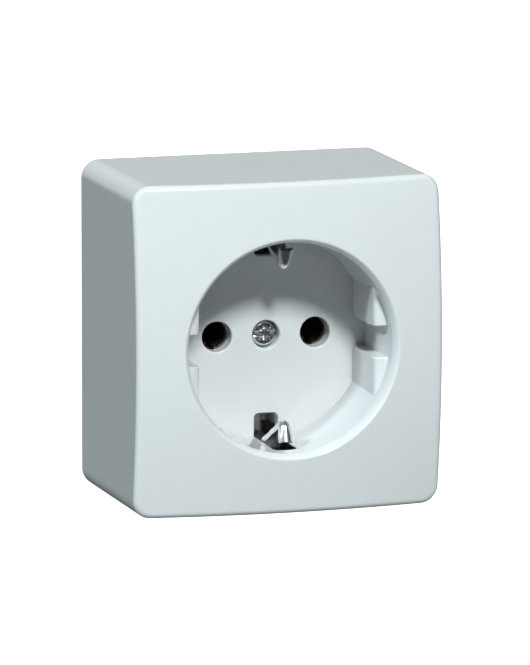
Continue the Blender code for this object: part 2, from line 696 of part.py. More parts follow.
def arm_path():
    """The middle of the strip from the tip of an arm back to the centre of the bracket, in y and z."""
    middle = (BRACKET_FRONT + BRACKET_BACK) / 2
    apex = FLOOR_FRONT - ARM_APEX_HEIGHT
    rise = STRIP / 2
    points = [(apex - ARM_TIP_FORWARD - rise, ARM_TIP), (apex - rise, ARM_APEX - rise),
              (FLOOR_FRONT - ARM_KNEE_HEIGHT, ARM_OUT), (middle, ARM_OUT), (middle, 0.0)]
    return filleted(points, (ARM_CROWN_BEND, ARM_KNEE_BEND, ARM_FOOT_BEND))


def arm_width(distance, total):
    """Full width and camber of the strip at a distance from the tip."""
    share = distance / total
    stations = ((0.0, ARM_TIP_WIDTH, 0.5), (0.07, ARM_APEX_WIDTH, 1.0), (0.11, ARM_APEX_WIDTH, 1.0),
                (0.27, ARM_WIDTH, 0.0), (0.64, ARM_WIDTH, 0.0), (0.74, BRACKET_WIDTH, 0.0),
                (1.0, BRACKET_WIDTH, 0.0))
    for (s0, w0, c0), (s1, w1, c1) in zip(stations, stations[1:]):
        if share <= s1:
            t = (share - s0) / (s1 - s0)
            t = t * t * (3 - 2 * t)
            return w0 + (w1 - w0) * t, (c0 + (c1 - c0) * t) * ARM_CAMBER
    return BRACKET_WIDTH, 0.0


def strip_section(point, tangent, width, camber, half):
    """A ring round the strip: across its face to the cup wall, then back across its face to the plug."""
    normal = Vector((-tangent.y, tangent.x))
    columns = 6
    ring = []
    for face, order in ((1, range(columns + 1)), (-1, range(columns, -1, -1))):
        for k in order:
            u = 2 * k / columns - 1
            lift = camber / 2 - camber * (1 - u * u) + face * STRIP / 2
            y = point.x + normal.x * lift
            z = point.y + normal.y * lift
            ring.append((u * width / 2, y, half * z))
    return ring


def make_bracket(material):
    path = arm_path()
    marks = []
    for a, b in zip(path, path[1:]):
        pieces = max(1, round((b - a).length / 0.0022))
        marks += [a + (b - a) * k / pieces for k in range(pieces)]
    marks.append(path[-1])
    lengths = [0.0]
    for a, b in zip(marks, marks[1:]):
        lengths.append(lengths[-1] + (b - a).length)
    rings = []
    for k, point in enumerate(marks):
        before, after = marks[max(k - 1, 0)], marks[min(k + 1, len(marks) - 1)]
        width, camber = arm_width(lengths[k], lengths[-1])
        rings.append((point, (after - before).normalized(), width, camber))
    lower = [strip_section(*ring, -1) for ring in rings]
    upper = [strip_section(*ring, 1) for ring in rings[:-1]]
    bracket = add_object("earth_bracket", loft(lower + list(reversed(upper))), material, 40.0)
    x, z = earth_terminal()
    tab = box(bmesh.new(), BRACKET_WIDTH / 4, x + CLAMP_WIDTH / 2, BRACKET_FRONT, BRACKET_BACK,
              z - TAB_HALF, z + TAB_HALF)
    join(bracket, tab, "earth_tab_join_tool")
    bm = bmesh.new()
    disc(bm, BUSH_NECK + GAP, BRACKET_FRONT - PAST, BRACKET_BACK + PAST)
    for end in (-1, 1):
        disc(bm, RIVET_SHANK + GAP, BRACKET_FRONT - PAST, BRACKET_BACK + PAST,
             (0.0, end * RIVET_Z), SMALL_ROUND)
    disc(bm, TERMINAL_SHANK + SHANK_CLEARANCE, BRACKET_FRONT - PAST, BRACKET_BACK + PAST, (x, z),
         SMALL_ROUND)
    cut(bracket, bm, "bracket_hole_tool")
    return bracket


def make_live_contact(name, side, material):
    """A slit sleeve that grips the pin, and a strap down to its terminal, as one stamping."""
    mouth = INSERT_FRONT + INSERT_WEB + GAP
    rear = INSERT_BACK - SLEEVE_END_ROOM
    flare = SLEEVE_BORE + SLEEVE_FLARE
    profile = [(flare, mouth), (flare + SLEEVE_WALL * 0.7, mouth), (SLEEVE_RADIUS, mouth + SLEEVE_BORE),
               (SLEEVE_RADIUS, rear), (SLEEVE_BORE, rear), (SLEEVE_BORE, mouth + SLEEVE_BORE)]
    centre = (side * PIN_SPACING / 2, 0.0)
    strap = prism(bmesh.new(), strap_outline(side), BRACKET_FRONT, BRACKET_BACK)
    contact = add_object(name, strap, material)
    bm = disc(bmesh.new(), SLEEVE_BORE + SLEEVE_WALL / 2, BRACKET_FRONT - PAST, BRACKET_BACK + PAST,
              centre, ROUND)
    disc(bm, TERMINAL_SHANK + SHANK_CLEARANCE, BRACKET_FRONT - PAST, BRACKET_BACK + PAST,
         (side * TERMINAL_X, -TERMINAL_Z), SMALL_ROUND)
    cut(contact, bm, name + "_hole_tool")
    join(contact, turning(bmesh.new(), profile, centre, ROUND), name + "_sleeve_tool")
    slit = SLEEVE_SLIT / 2
    for tag, low, high in (("front", mouth - PAST, BRACKET_FRONT - STRIP),
                           ("rear", BRACKET_BACK + STRIP, rear + PAST)):
        bm = box(bmesh.new(), centre[0] - slit, centre[0] + slit, low, high,
                 -SLEEVE_RADIUS - PAST, SLEEVE_RADIUS + PAST)
        cut(contact, bm, f"{name}_{tag}_slit_tool")
    return contact


def make_clip_spring(name, side, material):
    """An open steel ring that squeezes the sleeve."""
    inner = SLEEVE_RADIUS + GAP
    outer = inner + SPRING_WIRE
    centre_x = side * PIN_SPACING / 2
    start, end = math.radians(25), math.radians(335)
    steps = 22
    back = BRACKET_FRONT - 2 * STRIP
    front = back - SPRING_WIDTH
    rings = []
    for k in range(steps + 1):
        a = start + (end - start) * k / steps
        c, s = math.cos(a), math.sin(a)
        rings.append([(centre_x + side * r * c, y, r * s)
                      for r, y in ((inner, front), (outer, front), (outer, back), (inner, back))])
    return add_object(name, loft(rings), material)


def screw_blank(axis, under, head_radius, head_height, shank_radius, end, steps=SMALL_ROUND):
    """A cheese head with a rounded edge on a plain shank with a chamfered end."""
    top = under - head_height
    edge = head_height / 5
    tip = shank_radius / 3
    profile = [(0, top), (head_radius - edge, top), (head_radius - edge * 0.3, top + edge * 0.3),
               (head_radius, top + edge), (head_radius, under), (shank_radius, under),
               (shank_radius, end - tip), (shank_radius - tip, end), (0, end)]
    return turning(bmesh.new(), profile, axis, steps)


def drive_slots(screw, name, axis, top, reach, cross=True):
    """Cuts a slot, or a slot and a cross recess, into a screw head."""
    x, z = axis
    half = SLOT_CUT / 2
    wide = box(bmesh.new(), x - reach, x + reach, top - PAST, top + SLOT_CUT_DEPTH, z - half, z + half)
    cut(screw, wide, name + "_slot_tool")
    if cross:
        arm = reach * 0.55
        deep = box(bmesh.new(), x - half, x + half, top - PAST, top + SLOT_CUT_DEPTH * 1.3,
                   z - arm, z + arm)
        cut(screw, deep, name + "_cross_tool")


def make_terminal(suffix, axis, plate_material, screw_material):
    """The clamp plate and its captive screw, backed off by the clamp's travel."""
    x, z = axis
    half = CLAMP_WIDTH / 2
    origin = (x, CLAMP_BACK, z)
    bm = box(bmesh.new(), x - half, x + half, CLAMP_FRONT, CLAMP_BACK, z - half, z + half)
    plate = add_object("clamp_plate_" + suffix, bm, plate_material, origin=origin)
    for side in (-1, 1):
        lip = box(bmesh.new(), x + side * half - side * CLAMP_THICKNESS, x + side * half,
                  CLAMP_BACK - CLAMP_THICKNESS / 2, CLAMP_BACK + CLAMP_LIP, z - half, z + half)
        join(plate, lip, f"clamp_lip_tool_{suffix}_{side}")
    hole = disc(bmesh.new(), TERMINAL_SHANK + SHANK_CLEARANCE, CLAMP_FRONT - PAST, CLAMP_BACK + PAST,
                axis, SMALL_ROUND)
    cut(plate, hole, "clamp_hole_tool_" + suffix)
    bm = screw_blank(axis, TERMINAL_UNDER, TERMINAL_HEAD, TERMINAL_HEAD_HEIGHT, TERMINAL_SHANK,
                     TERMINAL_END)
    name = "terminal_screw_" + suffix
    screw = add_object(name, bm, screw_material, origin=(x, TERMINAL_UNDER, z))
    drive_slots(screw, name, axis, TERMINAL_UNDER - TERMINAL_HEAD_HEIGHT, TERMINAL_HEAD + PAST)


def make_cover_screw(material):
    bm = screw_blank((0.0, 0.0), HEAD_UNDER, COVER_HEAD, COVER_HEAD_HEIGHT, COVER_SHANK,
                     BUSH_BACK - GAP, ROUND)
    screw = add_object("cover_screw", bm, material, origin=(0.0, HEAD_UNDER, 0.0))
    drive_slots(screw, "cover_screw", (0.0, 0.0), HEAD_TOP, COVER_HEAD + PAST)


def make_washer(material):
    inner = COVER_SHANK + SHANK_CLEARANCE
    profile = [(inner, WASHER_FRONT), (WASHER_RADIUS, WASHER_FRONT), (WASHER_RADIUS, WASHER_BACK),
               (inner, WASHER_BACK)]
    add_object("screw_washer", turning(bmesh.new(), profile), material, origin=(0.0, WASHER_FRONT, 0.0))


def make_bush(material):
    """A turned bush, riveted over in front of the bracket."""
    bore = COVER_SHANK + SHANK_CLEARANCE
    rim = BUSH_FRONT + RIVET_RIM
    shoulder = BRACKET_BACK + GAP
    profile = [(bore, BUSH_FRONT), (BUSH_RADIUS, BUSH_FRONT), (BUSH_RADIUS, rim), (BUSH_NECK, rim),
               (BUSH_NECK, shoulder), (BUSH_RADIUS, shoulder), (BUSH_RADIUS, BUSH_BACK),
               (bore, BUSH_BACK)]
    add_object("cover_screw_bush", turning(bmesh.new(), profile), material)


def make_rivet(name, half, material):
    """A rivet through the bracket, the insert and the retainer."""
    front = BRACKET_FRONT - GAP
    seat = (RETAINER_BACK + RETAINER_FRONT) / 2 + GAP
    head = RIVET_RIM * 1.5
    profile = [(0, front - head), (RIVET_HEAD * 0.8, front - head), (RIVET_HEAD, front - head / 2),
               (RIVET_HEAD, front), (RIVET_SHANK, front), (RIVET_SHANK, seat), (RIVET_HEAD, seat),
               (RIVET_HEAD, seat + RIVET_RIM), (0, seat + RIVET_RIM)]
    add_object(name, turning(bmesh.new(), profile, (0.0, half * RIVET_Z), SMALL_ROUND), material)


def make_insert_screw(name, side, material):
    axis = (side * INSERT_SCREW_X, 0.0)
    under = INSERT_SCREW_SEAT_Y - GAP
    bm = screw_blank(axis, under, INSERT_SCREW_HEAD, INSERT_SCREW_HEAD_HEIGHT, INSERT_SCREW_SHANK,
                     -SCREW_END_WALL - GAP)
    screw = add_object(name, bm, material)
    drive_slots(screw, name, axis, under - INSERT_SCREW_HEAD_HEIGHT, INSERT_SCREW_HEAD * 0.8)


def build():
    clear_scene()
    white = make_material("white_plastic", (0.80, 0.84, 0.85), 0.22, 0.0)
    base_white = make_material("base_plastic", (0.74, 0.77, 0.77), 0.45, 0.0)
    thermoset = make_material("insert_thermoset", (0.62, 0.63, 0.60), 0.50, 0.0)
    fibre = make_material("retainer_fibre", (0.30, 0.27, 0.24), 0.70, 0.0)
    brass = make_material("contact_brass", (0.78, 0.60, 0.30), 0.30, 1.0)
    nickel = make_material("nickel_strip", (0.72, 0.74, 0.74), 0.18, 1.0)
    steel = make_material("spring_steel", (0.55, 0.56, 0.57), 0.30, 1.0)
    zinc = make_material("zinc_screw", (0.70, 0.73, 0.75), 0.25, 1.0)
    nylon = make_material("washer_nylon", (0.85, 0.85, 0.82), 0.50, 0.0)

    make_cover(white)
    make_base_plate(base_white)
    make_insert(thermoset)
    make_retainer(fibre)
    make_bracket(nickel)
    make_live_contact("live_contact_left", -1, brass)
    make_live_contact("live_contact_right", 1, brass)
    make_clip_spring("clip_spring_left", -1, steel)
    make_clip_spring("clip_spring_right", 1, steel)
    make_terminal("left", live_terminals()[0], zinc, zinc)
    make_terminal("right", live_terminals()[1], zinc, zinc)
    make_terminal("earth", earth_terminal(), zinc, zinc)
    make_cover_screw(zinc)
    make_washer(nylon)
    make_bush(brass)
    make_rivet("earth_rivet_upper", 1, brass)
    make_rivet("earth_rivet_lower", -1, brass)
    make_insert_screw("insert_screw_left", -1, zinc)
    make_insert_screw("insert_screw_right", 1, zinc)


build()
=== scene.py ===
import math

import bmesh
import bpy
from mathutils import Matrix, Vector


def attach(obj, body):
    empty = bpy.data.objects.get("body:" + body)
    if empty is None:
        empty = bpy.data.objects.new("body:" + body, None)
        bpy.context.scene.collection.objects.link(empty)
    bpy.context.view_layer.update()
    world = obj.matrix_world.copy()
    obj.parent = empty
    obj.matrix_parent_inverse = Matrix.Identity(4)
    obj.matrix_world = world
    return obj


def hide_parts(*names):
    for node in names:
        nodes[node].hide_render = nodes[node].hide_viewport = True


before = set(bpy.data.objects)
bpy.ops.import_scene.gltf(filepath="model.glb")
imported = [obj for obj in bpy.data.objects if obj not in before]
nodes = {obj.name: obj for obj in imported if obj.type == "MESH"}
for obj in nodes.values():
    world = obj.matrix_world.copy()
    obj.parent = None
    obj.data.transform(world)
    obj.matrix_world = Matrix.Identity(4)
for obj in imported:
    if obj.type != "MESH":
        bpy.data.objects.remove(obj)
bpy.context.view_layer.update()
mm = 0.001
fullTurn = 2 * math.pi
quarterTurn = math.pi / 2
touch = 1e-6  # places nearer than this are the same, in metres
tinyRadius = 1e-5  # so that no ring closes to a point


# selecting and shaping, as by hand

def startPiece(name, addPrimitive, **settings):
    # adds a primitive with nothing else selected, and names it
    bpy.ops.object.select_all(action="DESELECT")
    addPrimitive(**settings)
    piece = bpy.context.object
    piece.name = name
    piece.data.name = name
    bpy.ops.object.transform_apply(location=True, rotation=True, scale=True)
    return piece


def selectOnly(piece):
    bpy.ops.object.select_all(action="DESELECT")
    bpy.context.view_layer.objects.active = piece
    piece.select_set(True)


def editMesh(piece):
    selectOnly(piece)
    bpy.ops.object.mode_set(mode="EDIT")


def leaveEdit():
    bpy.ops.object.mode_set(mode="OBJECT")


def faceOutwards():
    bpy.ops.mesh.select_all(action="SELECT")
    bpy.ops.mesh.normals_make_consistent(inside=False)


def pickEdges(piece, test):
    mesh = bmesh.from_edit_mesh(piece.data)
    bpy.ops.mesh.select_all(action="DESELECT")
    bpy.ops.mesh.select_mode(type="EDGE")
    for edge in mesh.edges:
        if test(edge):
            edge.select_set(True)
    mesh.select_flush_mode()
    bmesh.update_edit_mesh(piece.data)


def moveTo(piece, order, ring):
    mesh = bmesh.from_edit_mesh(piece.data)
    mesh.verts.ensure_lookup_table()
    for index, place in zip(order, ring):
        mesh.verts[index].co = place
    bmesh.update_edit_mesh(piece.data)


def nextRing(piece, order):
    # the selected point that each point of the ring before was extruded to
    mesh = bmesh.from_edit_mesh(piece.data)
    mesh.verts.ensure_lookup_table()
    found = []
    for index in order:
        v = mesh.verts[index]
        found.append(next(e.other_vert(v).index for e in v.link_edges
                          if e.other_vert(v).select and e.other_vert(v).index not in order))
    return found


def grownPiece(name, rings):
    # a filled circle becomes the first ring, and its face is extruded from ring to ring
    piece = startPiece(name, bpy.ops.mesh.primitive_circle_add, vertices=len(rings[0]), radius=mm)
    editMesh(piece)
    bpy.ops.mesh.select_mode(type="FACE")
    order = list(range(len(rings[0])))
    moveTo(piece, order, rings[0])
    bpy.ops.mesh.select_all(action="SELECT")
    bpy.ops.mesh.edge_face_add()
    for ring in rings[1:]:
        bpy.ops.mesh.extrude_region_move(TRANSFORM_OT_translate={"value": (0, 0, mm)})
        order = nextRing(piece, order)
        moveTo(piece, order, ring)
    faceOutwards()
    leaveEdit()
    return piece


def ringAt(outline, y):
    return [(x, y, z) for x, z in outline]


def circle(radius, steps, centre=(0.0, 0.0)):
    turns = [fullTurn * k / steps for k in range(steps)]
    return [(centre[0] + radius * math.cos(a), centre[1] + radius * math.sin(a)) for a in turns]


def turnedRings(profile, steps, centre=(0.0, 0.0)):
    return [ringAt(circle(max(r, tinyRadius), steps, centre), y) for r, y in profile]


def roundedRect(halfX, halfZ, radius, sideSteps, cornerSteps):
    points = []
    for quarter in range(4):
        near, far = (halfX, halfZ) if quarter % 2 == 0 else (halfZ, halfX)
        flat = []
        for step in range(sideSteps):
            flat.append((near, (far - radius) * step / sideSteps))
        for step in range(cornerSteps):
            a = quarterTurn * step / cornerSteps
            flat.append((near - radius + radius * math.cos(a), far - radius + radius * math.sin(a)))
        for step in range(sideSteps):
            flat.append(((near - radius) * (1 - step / sideSteps), far))
        c, s = math.cos(quarter * quarterTurn), math.sin(quarter * quarterTurn)
        points += [(u * c - v * s, u * s + v * c) for u, v in flat]
    return points


def applyModifier(piece, kind, **settings):
    selectOnly(piece)
    bpy.ops.object.modifier_add(type=kind)
    modifier = piece.modifiers[-1]
    for key, value in settings.items():
        setattr(modifier, key, value)
    bpy.ops.object.modifier_apply(modifier=modifier.name)


def combine(piece, tool, operation):
    # joins a tool to the piece or cuts it out, and then throws the tool away
    applyModifier(piece, "BOOLEAN", operation=operation, solver="EXACT", object=tool)
    bpy.data.objects.remove(tool, do_unlink=True)


def easeEdges(piece, width, segments, degrees):
    # rounds the edges where faces meet at more than this angle
    applyModifier(piece, "BEVEL", width=width, segments=segments, limit_method="ANGLE",
                  angle_limit=math.radians(degrees))


def smoothPiece(piece, degrees):
    selectOnly(piece)
    bpy.ops.object.shade_smooth_by_angle(angle=math.radians(degrees))


def dress(piece, material, body, slotName, *stoodFor):
    piece.data.materials.clear()
    piece.data.materials.append(material)
    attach(piece, body)
    if stoodFor:
        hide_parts(*stoodFor)


# shader nodes and groups

def newGroup(name, inputs, outputs):
    group = bpy.data.node_groups.new(name, "ShaderNodeTree")
    for label, kind, value in inputs:
        socket = group.interface.new_socket(name=label, in_out="INPUT", socket_type=kind)
        socket.default_value = value
    for label, kind in outputs:
        group.interface.new_socket(name=label, in_out="OUTPUT", socket_type=kind)
    return group, group.nodes.new("NodeGroupInput"), group.nodes.new("NodeGroupOutput")


def addNode(tree, kind, settings=None, **links):
    # links: an input's name, or n and its number, to a value or to another node's output
    node = tree.nodes.new(kind)
    for key, value in (settings or {}).items():
        setattr(node, key, value)
    for key, value in links.items():
        numbered = key[0] == "n" and key[1:].isdigit()
        socket = node.inputs[int(key[1:]) if numbered else key.replace("_", " ")]
        if isinstance(value, bpy.types.NodeSocket):
            tree.links.new(value, socket)
        else:
            socket.default_value = value
    return node


def addMaths(tree, operation, *values, clamp=False):
    given = {"n" + str(number): value for number, value in enumerate(values)}
    return addNode(tree, "ShaderNodeMath", {"operation": operation, "use_clamp": clamp}, **given).outputs[0]


def addSpan(tree, value, start, full, low=0.0, high=1.0):
    # low up to the start and high from where it is full
    return addNode(tree, "ShaderNodeMapRange", n0=value, n1=start, n2=full, n3=low, n4=high).outputs[0]


def addBlend(tree, share, first, second):
    # a colour between two others
    return addNode(tree, "ShaderNodeMix", {"data_type": "RGBA"}, n0=share, n6=first, n7=second).outputs[2]


def addNoise(tree, place, scale, detail, roughness):
    noise = addNode(tree, "ShaderNodeTexNoise", Vector=place, Scale=scale, Detail=detail, Roughness=roughness)
    return noise.outputs["Fac"]


def addPlace(tree):
    return addNode(tree, "ShaderNodeTexCoord").outputs["Object"]


edgeLook = {
    "scale": 900.0, "detail": 4.0, "roughness": 0.5,
    "outer": (0.505, 0.58), "inner": (0.495, 0.44),  # pointiness where each mask starts and is full
    "plasticBreak": 0.6, "metalBreak": 0.5, "cornerDarkColour": (0.03, 0.03, 0.03),
}


def makeEdgeGroup():
    # one mask for outer edges, broken up by noise: wear on most finishes, painted shade on the cover's edges;
    # and one for inner corners, which the metals darken
    group, given, out = newGroup(
        "edgeWearAndShade", [("Width", "NodeSocketFloat", 0.5), ("Break up", "NodeSocketFloat", 0.5)],
        [("Mask", "NodeSocketFloat"), ("Crevice", "NodeSocketFloat")])
    bend = addNode(group, "ShaderNodeNewGeometry").outputs["Pointiness"]
    noise = addNoise(group, addPlace(group), edgeLook["scale"], edgeLook["detail"], edgeLook["roughness"])
    share = addMaths(group, "MULTIPLY", noise, given.outputs["Break up"])
    worn = addMaths(group, "SUBTRACT", addSpan(group, bend, *edgeLook["outer"]), share, clamp=True)
    mask = addMaths(group, "MULTIPLY", worn, given.outputs["Width"], clamp=True)
    group.links.new(mask, out.inputs["Mask"])
    group.links.new(addSpan(group, bend, *edgeLook["inner"]), out.inputs["Crevice"])
    return group


mouldedLook = {
    "flowScale": 60.0, "flowDetail": 7.0, "flowRoughness": 0.62, "grainDetail": 2.0, "grainRoughness": 0.6,
    "dotScale": 2600.0, "dotSpan": (0.12, 0.26), "dotColour": (0.25, 0.25, 0.24),
    "grainHeight": 0.02 * mm, "glowReach": 0.8 * mm,
}


def makeMouldedGroup():
    # colour, roughness and height of moulded plastic: flow shade, fine grain and specks
    group, given, out = newGroup(
        "mouldedPlastic",
        [("Colour", "NodeSocketColor", (0.8, 0.8, 0.8, 1)), ("Shade", "NodeSocketFloat", 0.04),
         ("Grain size", "NodeSocketFloat", 3000.0), ("Speckle", "NodeSocketFloat", 0.0),
         ("Roughness", "NodeSocketFloat", 0.25), ("Roughness spread", "NodeSocketFloat", 0.08)],
        [("Colour", "NodeSocketColor"), ("Roughness", "NodeSocketFloat"), ("Height", "NodeSocketFloat")])
    look, place = mouldedLook, addPlace(group)
    flow = addNoise(group, place, look["flowScale"], look["flowDetail"], look["flowRoughness"])
    grain = addNoise(group, place, given.outputs["Grain size"], look["grainDetail"], look["grainRoughness"])
    dots = addNode(group, "ShaderNodeTexVoronoi", {"feature": "F1"}, Vector=place, Scale=look["dotScale"])
    dotMask = addSpan(group, dots.outputs["Distance"], *look["dotSpan"], 1.0, 0.0)
    dotShare = addMaths(group, "MULTIPLY", dotMask, given.outputs["Speckle"])
    sway = addMaths(group, "SUBTRACT", flow, 0.5)
    shade = addMaths(group, "MULTIPLY_ADD", sway, given.outputs["Shade"], 1.0)
    lit = addNode(group, "ShaderNodeVectorMath", {"operation": "SCALE"}, n0=given.outputs["Colour"],
                  Scale=shade)
    colour = addBlend(group, dotShare, lit.outputs[0], (*look["dotColour"], 1))
    rough = addMaths(group, "MULTIPLY_ADD", sway, given.outputs["Roughness spread"], given.outputs["Roughness"],
                     clamp=True)
    group.links.new(colour, out.inputs["Colour"])
    group.links.new(rough, out.inputs["Roughness"])
    group.links.new(grain, out.inputs["Height"])
    return group


workedLook = {
    "lineScale": 2200.0, "lineDetail": 4.0, "blotScale": 260.0, "blotDetail": 5.0, "noiseRoughness": 0.6,
    "blotSpan": (0.48, 0.72), "stainDull": 0.35, "lineHeight": 0.01 * mm,
}


def makeMetalGroup():
    # colour, roughness and height of rolled or turned metal, with lines along one direction and dull stains
    group, given, out = newGroup(
        "workedMetal",
        [("Colour", "NodeSocketColor", (0.7, 0.7, 0.7, 1)), ("Stain", "NodeSocketFloat", 0.2),
         ("Stain colour", "NodeSocketColor", (0.4, 0.35, 0.3, 1)),
         ("Line direction", "NodeSocketVector", (1.0, 1.0, 1.0)),
         ("Roughness", "NodeSocketFloat", 0.2), ("Roughness spread", "NodeSocketFloat", 0.2)],
        [("Colour", "NodeSocketColor"), ("Roughness", "NodeSocketFloat"), ("Height", "NodeSocketFloat")])
    look, place = workedLook, addPlace(group)
    stretched = addNode(group, "ShaderNodeVectorMath", {"operation": "MULTIPLY"}, n0=place,
                        n1=given.outputs["Line direction"])
    lines = addNoise(group, stretched.outputs[0], look["lineScale"], look["lineDetail"], look["noiseRoughness"])
    blots = addNoise(group, place, look["blotScale"], look["blotDetail"], look["noiseRoughness"])
    stained = addMaths(group, "MULTIPLY", addSpan(group, blots, *look["blotSpan"]), given.outputs["Stain"])
    colour = addBlend(group, stained, given.outputs["Colour"], given.outputs["Stain colour"])
    wave = addMaths(group, "SUBTRACT", lines, 0.5)
    rough = addMaths(group, "MULTIPLY_ADD", wave, given.outputs["Roughness spread"], given.outputs["Roughness"])
    dulled = addMaths(group, "MULTIPLY_ADD", stained, look["stainDull"], rough, clamp=True)
    group.links.new(colour, out.inputs["Colour"])
    group.links.new(dulled, out.inputs["Roughness"])
    group.links.new(lines, out.inputs["Height"])
    return group


edgeWearAndShade = makeEdgeGroup()
mouldedPlastic = makeMouldedGroup()
workedMetal = makeMetalGroup()


def newMaterial(name):
    material = bpy.data.materials.new(name)
    material.use_nodes = True
    return material, material.node_tree, material.node_tree.nodes["Principled BSDF"]


def plastic(name, look):
    material, tree, shader = newMaterial(name)
    body = addNode(tree, "ShaderNodeGroup", {"node_tree": mouldedPlastic}, Colour=(*look["colour"], 1),
                   Shade=look["shade"], Grain_size=look["grainSize"], Speckle=look["speckle"],
                   Roughness=look["roughness"], Roughness_spread=look["spread"])
    edges = addNode(tree, "ShaderNodeGroup", {"node_tree": edgeWearAndShade}, Width=look["edgeMark"],
                    Break_up=edgeLook["plasticBreak"])
    bump = addNode(tree, "ShaderNodeBump", Strength=look["bump"], Distance=mouldedLook["grainHeight"],
                   Height=body.outputs["Height"])
    # outer edges take the edge colour: wear on most plastics, painted shade on the cover
    colour = addBlend(tree, edges.outputs["Mask"], body.outputs["Colour"], (*look["edgeColour"], 1))
    if "bounce" in look:  # less light is thrown from wall to wall than the camera sees
        path = addNode(tree, "ShaderNodeLightPath")
        colour = addBlend(tree, path.outputs["Is Diffuse Ray"], colour, (*look["bounce"], 1))
    tree.links.new(colour, shader.inputs["Base Color"])
    tree.links.new(body.outputs["Roughness"], shader.inputs["Roughness"])
    tree.links.new(bump.outputs["Normal"], shader.inputs["Normal"])
    shader.inputs["IOR"].default_value = look["ior"]
    shader.inputs["Subsurface Weight"].default_value = look.get("glow", 0.0)
    shader.inputs["Subsurface Radius"].default_value = (1.0, 1.0, 1.0)
    shader.inputs["Subsurface Scale"].default_value = mouldedLook["glowReach"]
    return material


def metal(name, look):
    material, tree, shader = newMaterial(name)
    body = addNode(tree, "ShaderNodeGroup", {"node_tree": workedMetal}, Colour=(*look["colour"], 1),
                   Stain_colour=(*look["stainColour"], 1), Stain=look["stain"], Line_direction=look["lines"],
                   Roughness=look["roughness"], Roughness_spread=look["spread"])
    edges = addNode(tree, "ShaderNodeGroup", {"node_tree": edgeWearAndShade}, Width=look["edgeMark"],
                    Break_up=edgeLook["metalBreak"])
    bump = addNode(tree, "ShaderNodeBump", Strength=look["bump"], Distance=workedLook["lineHeight"],
                   Height=body.outputs["Height"])
    bright = addBlend(tree, edges.outputs["Mask"], body.outputs["Colour"], (*look["edgeColour"], 1))
    # inner corners are darkened, on the screw nearly to black
    cornerDarkShare = addMaths(tree, "MULTIPLY", edges.outputs["Crevice"], look["cornerDark"])
    cornerDarkened = addBlend(tree, cornerDarkShare, bright, (*edgeLook["cornerDarkColour"], 1))
    tree.links.new(cornerDarkened, shader.inputs["Base Color"])
    tree.links.new(body.outputs["Roughness"], shader.inputs["Roughness"])
    tree.links.new(bump.outputs["Normal"], shader.inputs["Normal"])
    shader.inputs["Metallic"].default_value = 1.0
    return material


plastics = {
    # its edge colour is darker than its body: painted shade on its rounded edges
    "coverGloss": {
        "colour": (0.745, 0.825, 0.84), "edgeColour": (0.66, 0.75, 0.77), "bounce": (0.635, 0.635, 0.64),
        "shade": 0.05, "grainSize": 1600.0, "speckle": 0.0, "roughness": 0.13, "spread": 0.05,
        "edgeMark": 0.15, "bump": 0.20, "ior": 1.50, "glow": 0.30},
    "baseSatin": {
        "colour": (0.68, 0.73, 0.73), "edgeColour": (0.80, 0.83, 0.83),
        "shade": 0.06, "grainSize": 2600.0, "speckle": 0.0, "roughness": 0.42, "spread": 0.12,
        "edgeMark": 0.5, "bump": 0.5, "ior": 1.48},
    "insertPressed": {
        "colour": (0.50, 0.52, 0.52), "edgeColour": (0.64, 0.66, 0.66), "bounce": (0.3, 0.3, 0.3),
        "shade": 0.12, "grainSize": 3200.0, "speckle": 0.55, "roughness": 0.46, "spread": 0.16,
        "edgeMark": 0.7, "bump": 0.5, "ior": 1.52},
    "retainerBoard": {
        "colour": (0.20, 0.16, 0.12), "edgeColour": (0.34, 0.28, 0.22),
        "shade": 0.30, "grainSize": 1500.0, "speckle": 0.35, "roughness": 0.66, "spread": 0.14,
        "edgeMark": 0.8, "bump": 0.9, "ior": 1.45},
    "washerNylon": {
        "colour": (0.78, 0.77, 0.70), "edgeColour": (0.85, 0.85, 0.80),
        "shade": 0.05, "grainSize": 1800.0, "speckle": 0.0, "roughness": 0.44, "spread": 0.10,
        "edgeMark": 0.3, "bump": 0.3, "ior": 1.50, "glow": 0.3},
}
metals = {
    "nickelStrip": {
        "colour": (0.80, 0.82, 0.83), "stainColour": (0.50, 0.51, 0.52), "edgeColour": (0.92, 0.93, 0.94),
        "stain": 0.2, "lines": (1.0, 0.03, 0.03), "roughness": 0.29, "spread": 0.16,
        "edgeMark": 0.8, "bump": 0.14, "cornerDark": 0.3},
    "contactBrass": {
        "colour": (0.35, 0.33, 0.28), "stainColour": (0.12, 0.11, 0.09), "edgeColour": (0.50, 0.46, 0.38),
        "stain": 0.6, "lines": (1.0, 0.1, 1.0), "roughness": 0.34, "spread": 0.20,
        "edgeMark": 0.8, "bump": 0.3, "cornerDark": 0.6},
    "springSteel": {
        "colour": (0.42, 0.43, 0.45), "stainColour": (0.20, 0.21, 0.26), "edgeColour": (0.66, 0.67, 0.68),
        "stain": 0.5, "lines": (1.0, 0.1, 1.0), "roughness": 0.30, "spread": 0.20,
        "edgeMark": 0.9, "bump": 0.3, "cornerDark": 0.5},
    "zincScrew": {
        "colour": (0.74, 0.77, 0.78), "stainColour": (0.50, 0.51, 0.48), "edgeColour": (0.90, 0.92, 0.93),
        "stain": 0.3, "lines": (1.0, 1.0, 1.0), "roughness": 0.20, "spread": 0.16,
        "edgeMark": 0.9, "bump": 0.12, "cornerDark": 0.95},
}
finish = {name: plastic(name, look) for name, look in plastics.items()}
finish.update({name: metal(name, look) for name, look in metals.items()})
print("materials:", len(finish))


# cover: one moulding from the recess floor out to the back edge and in again

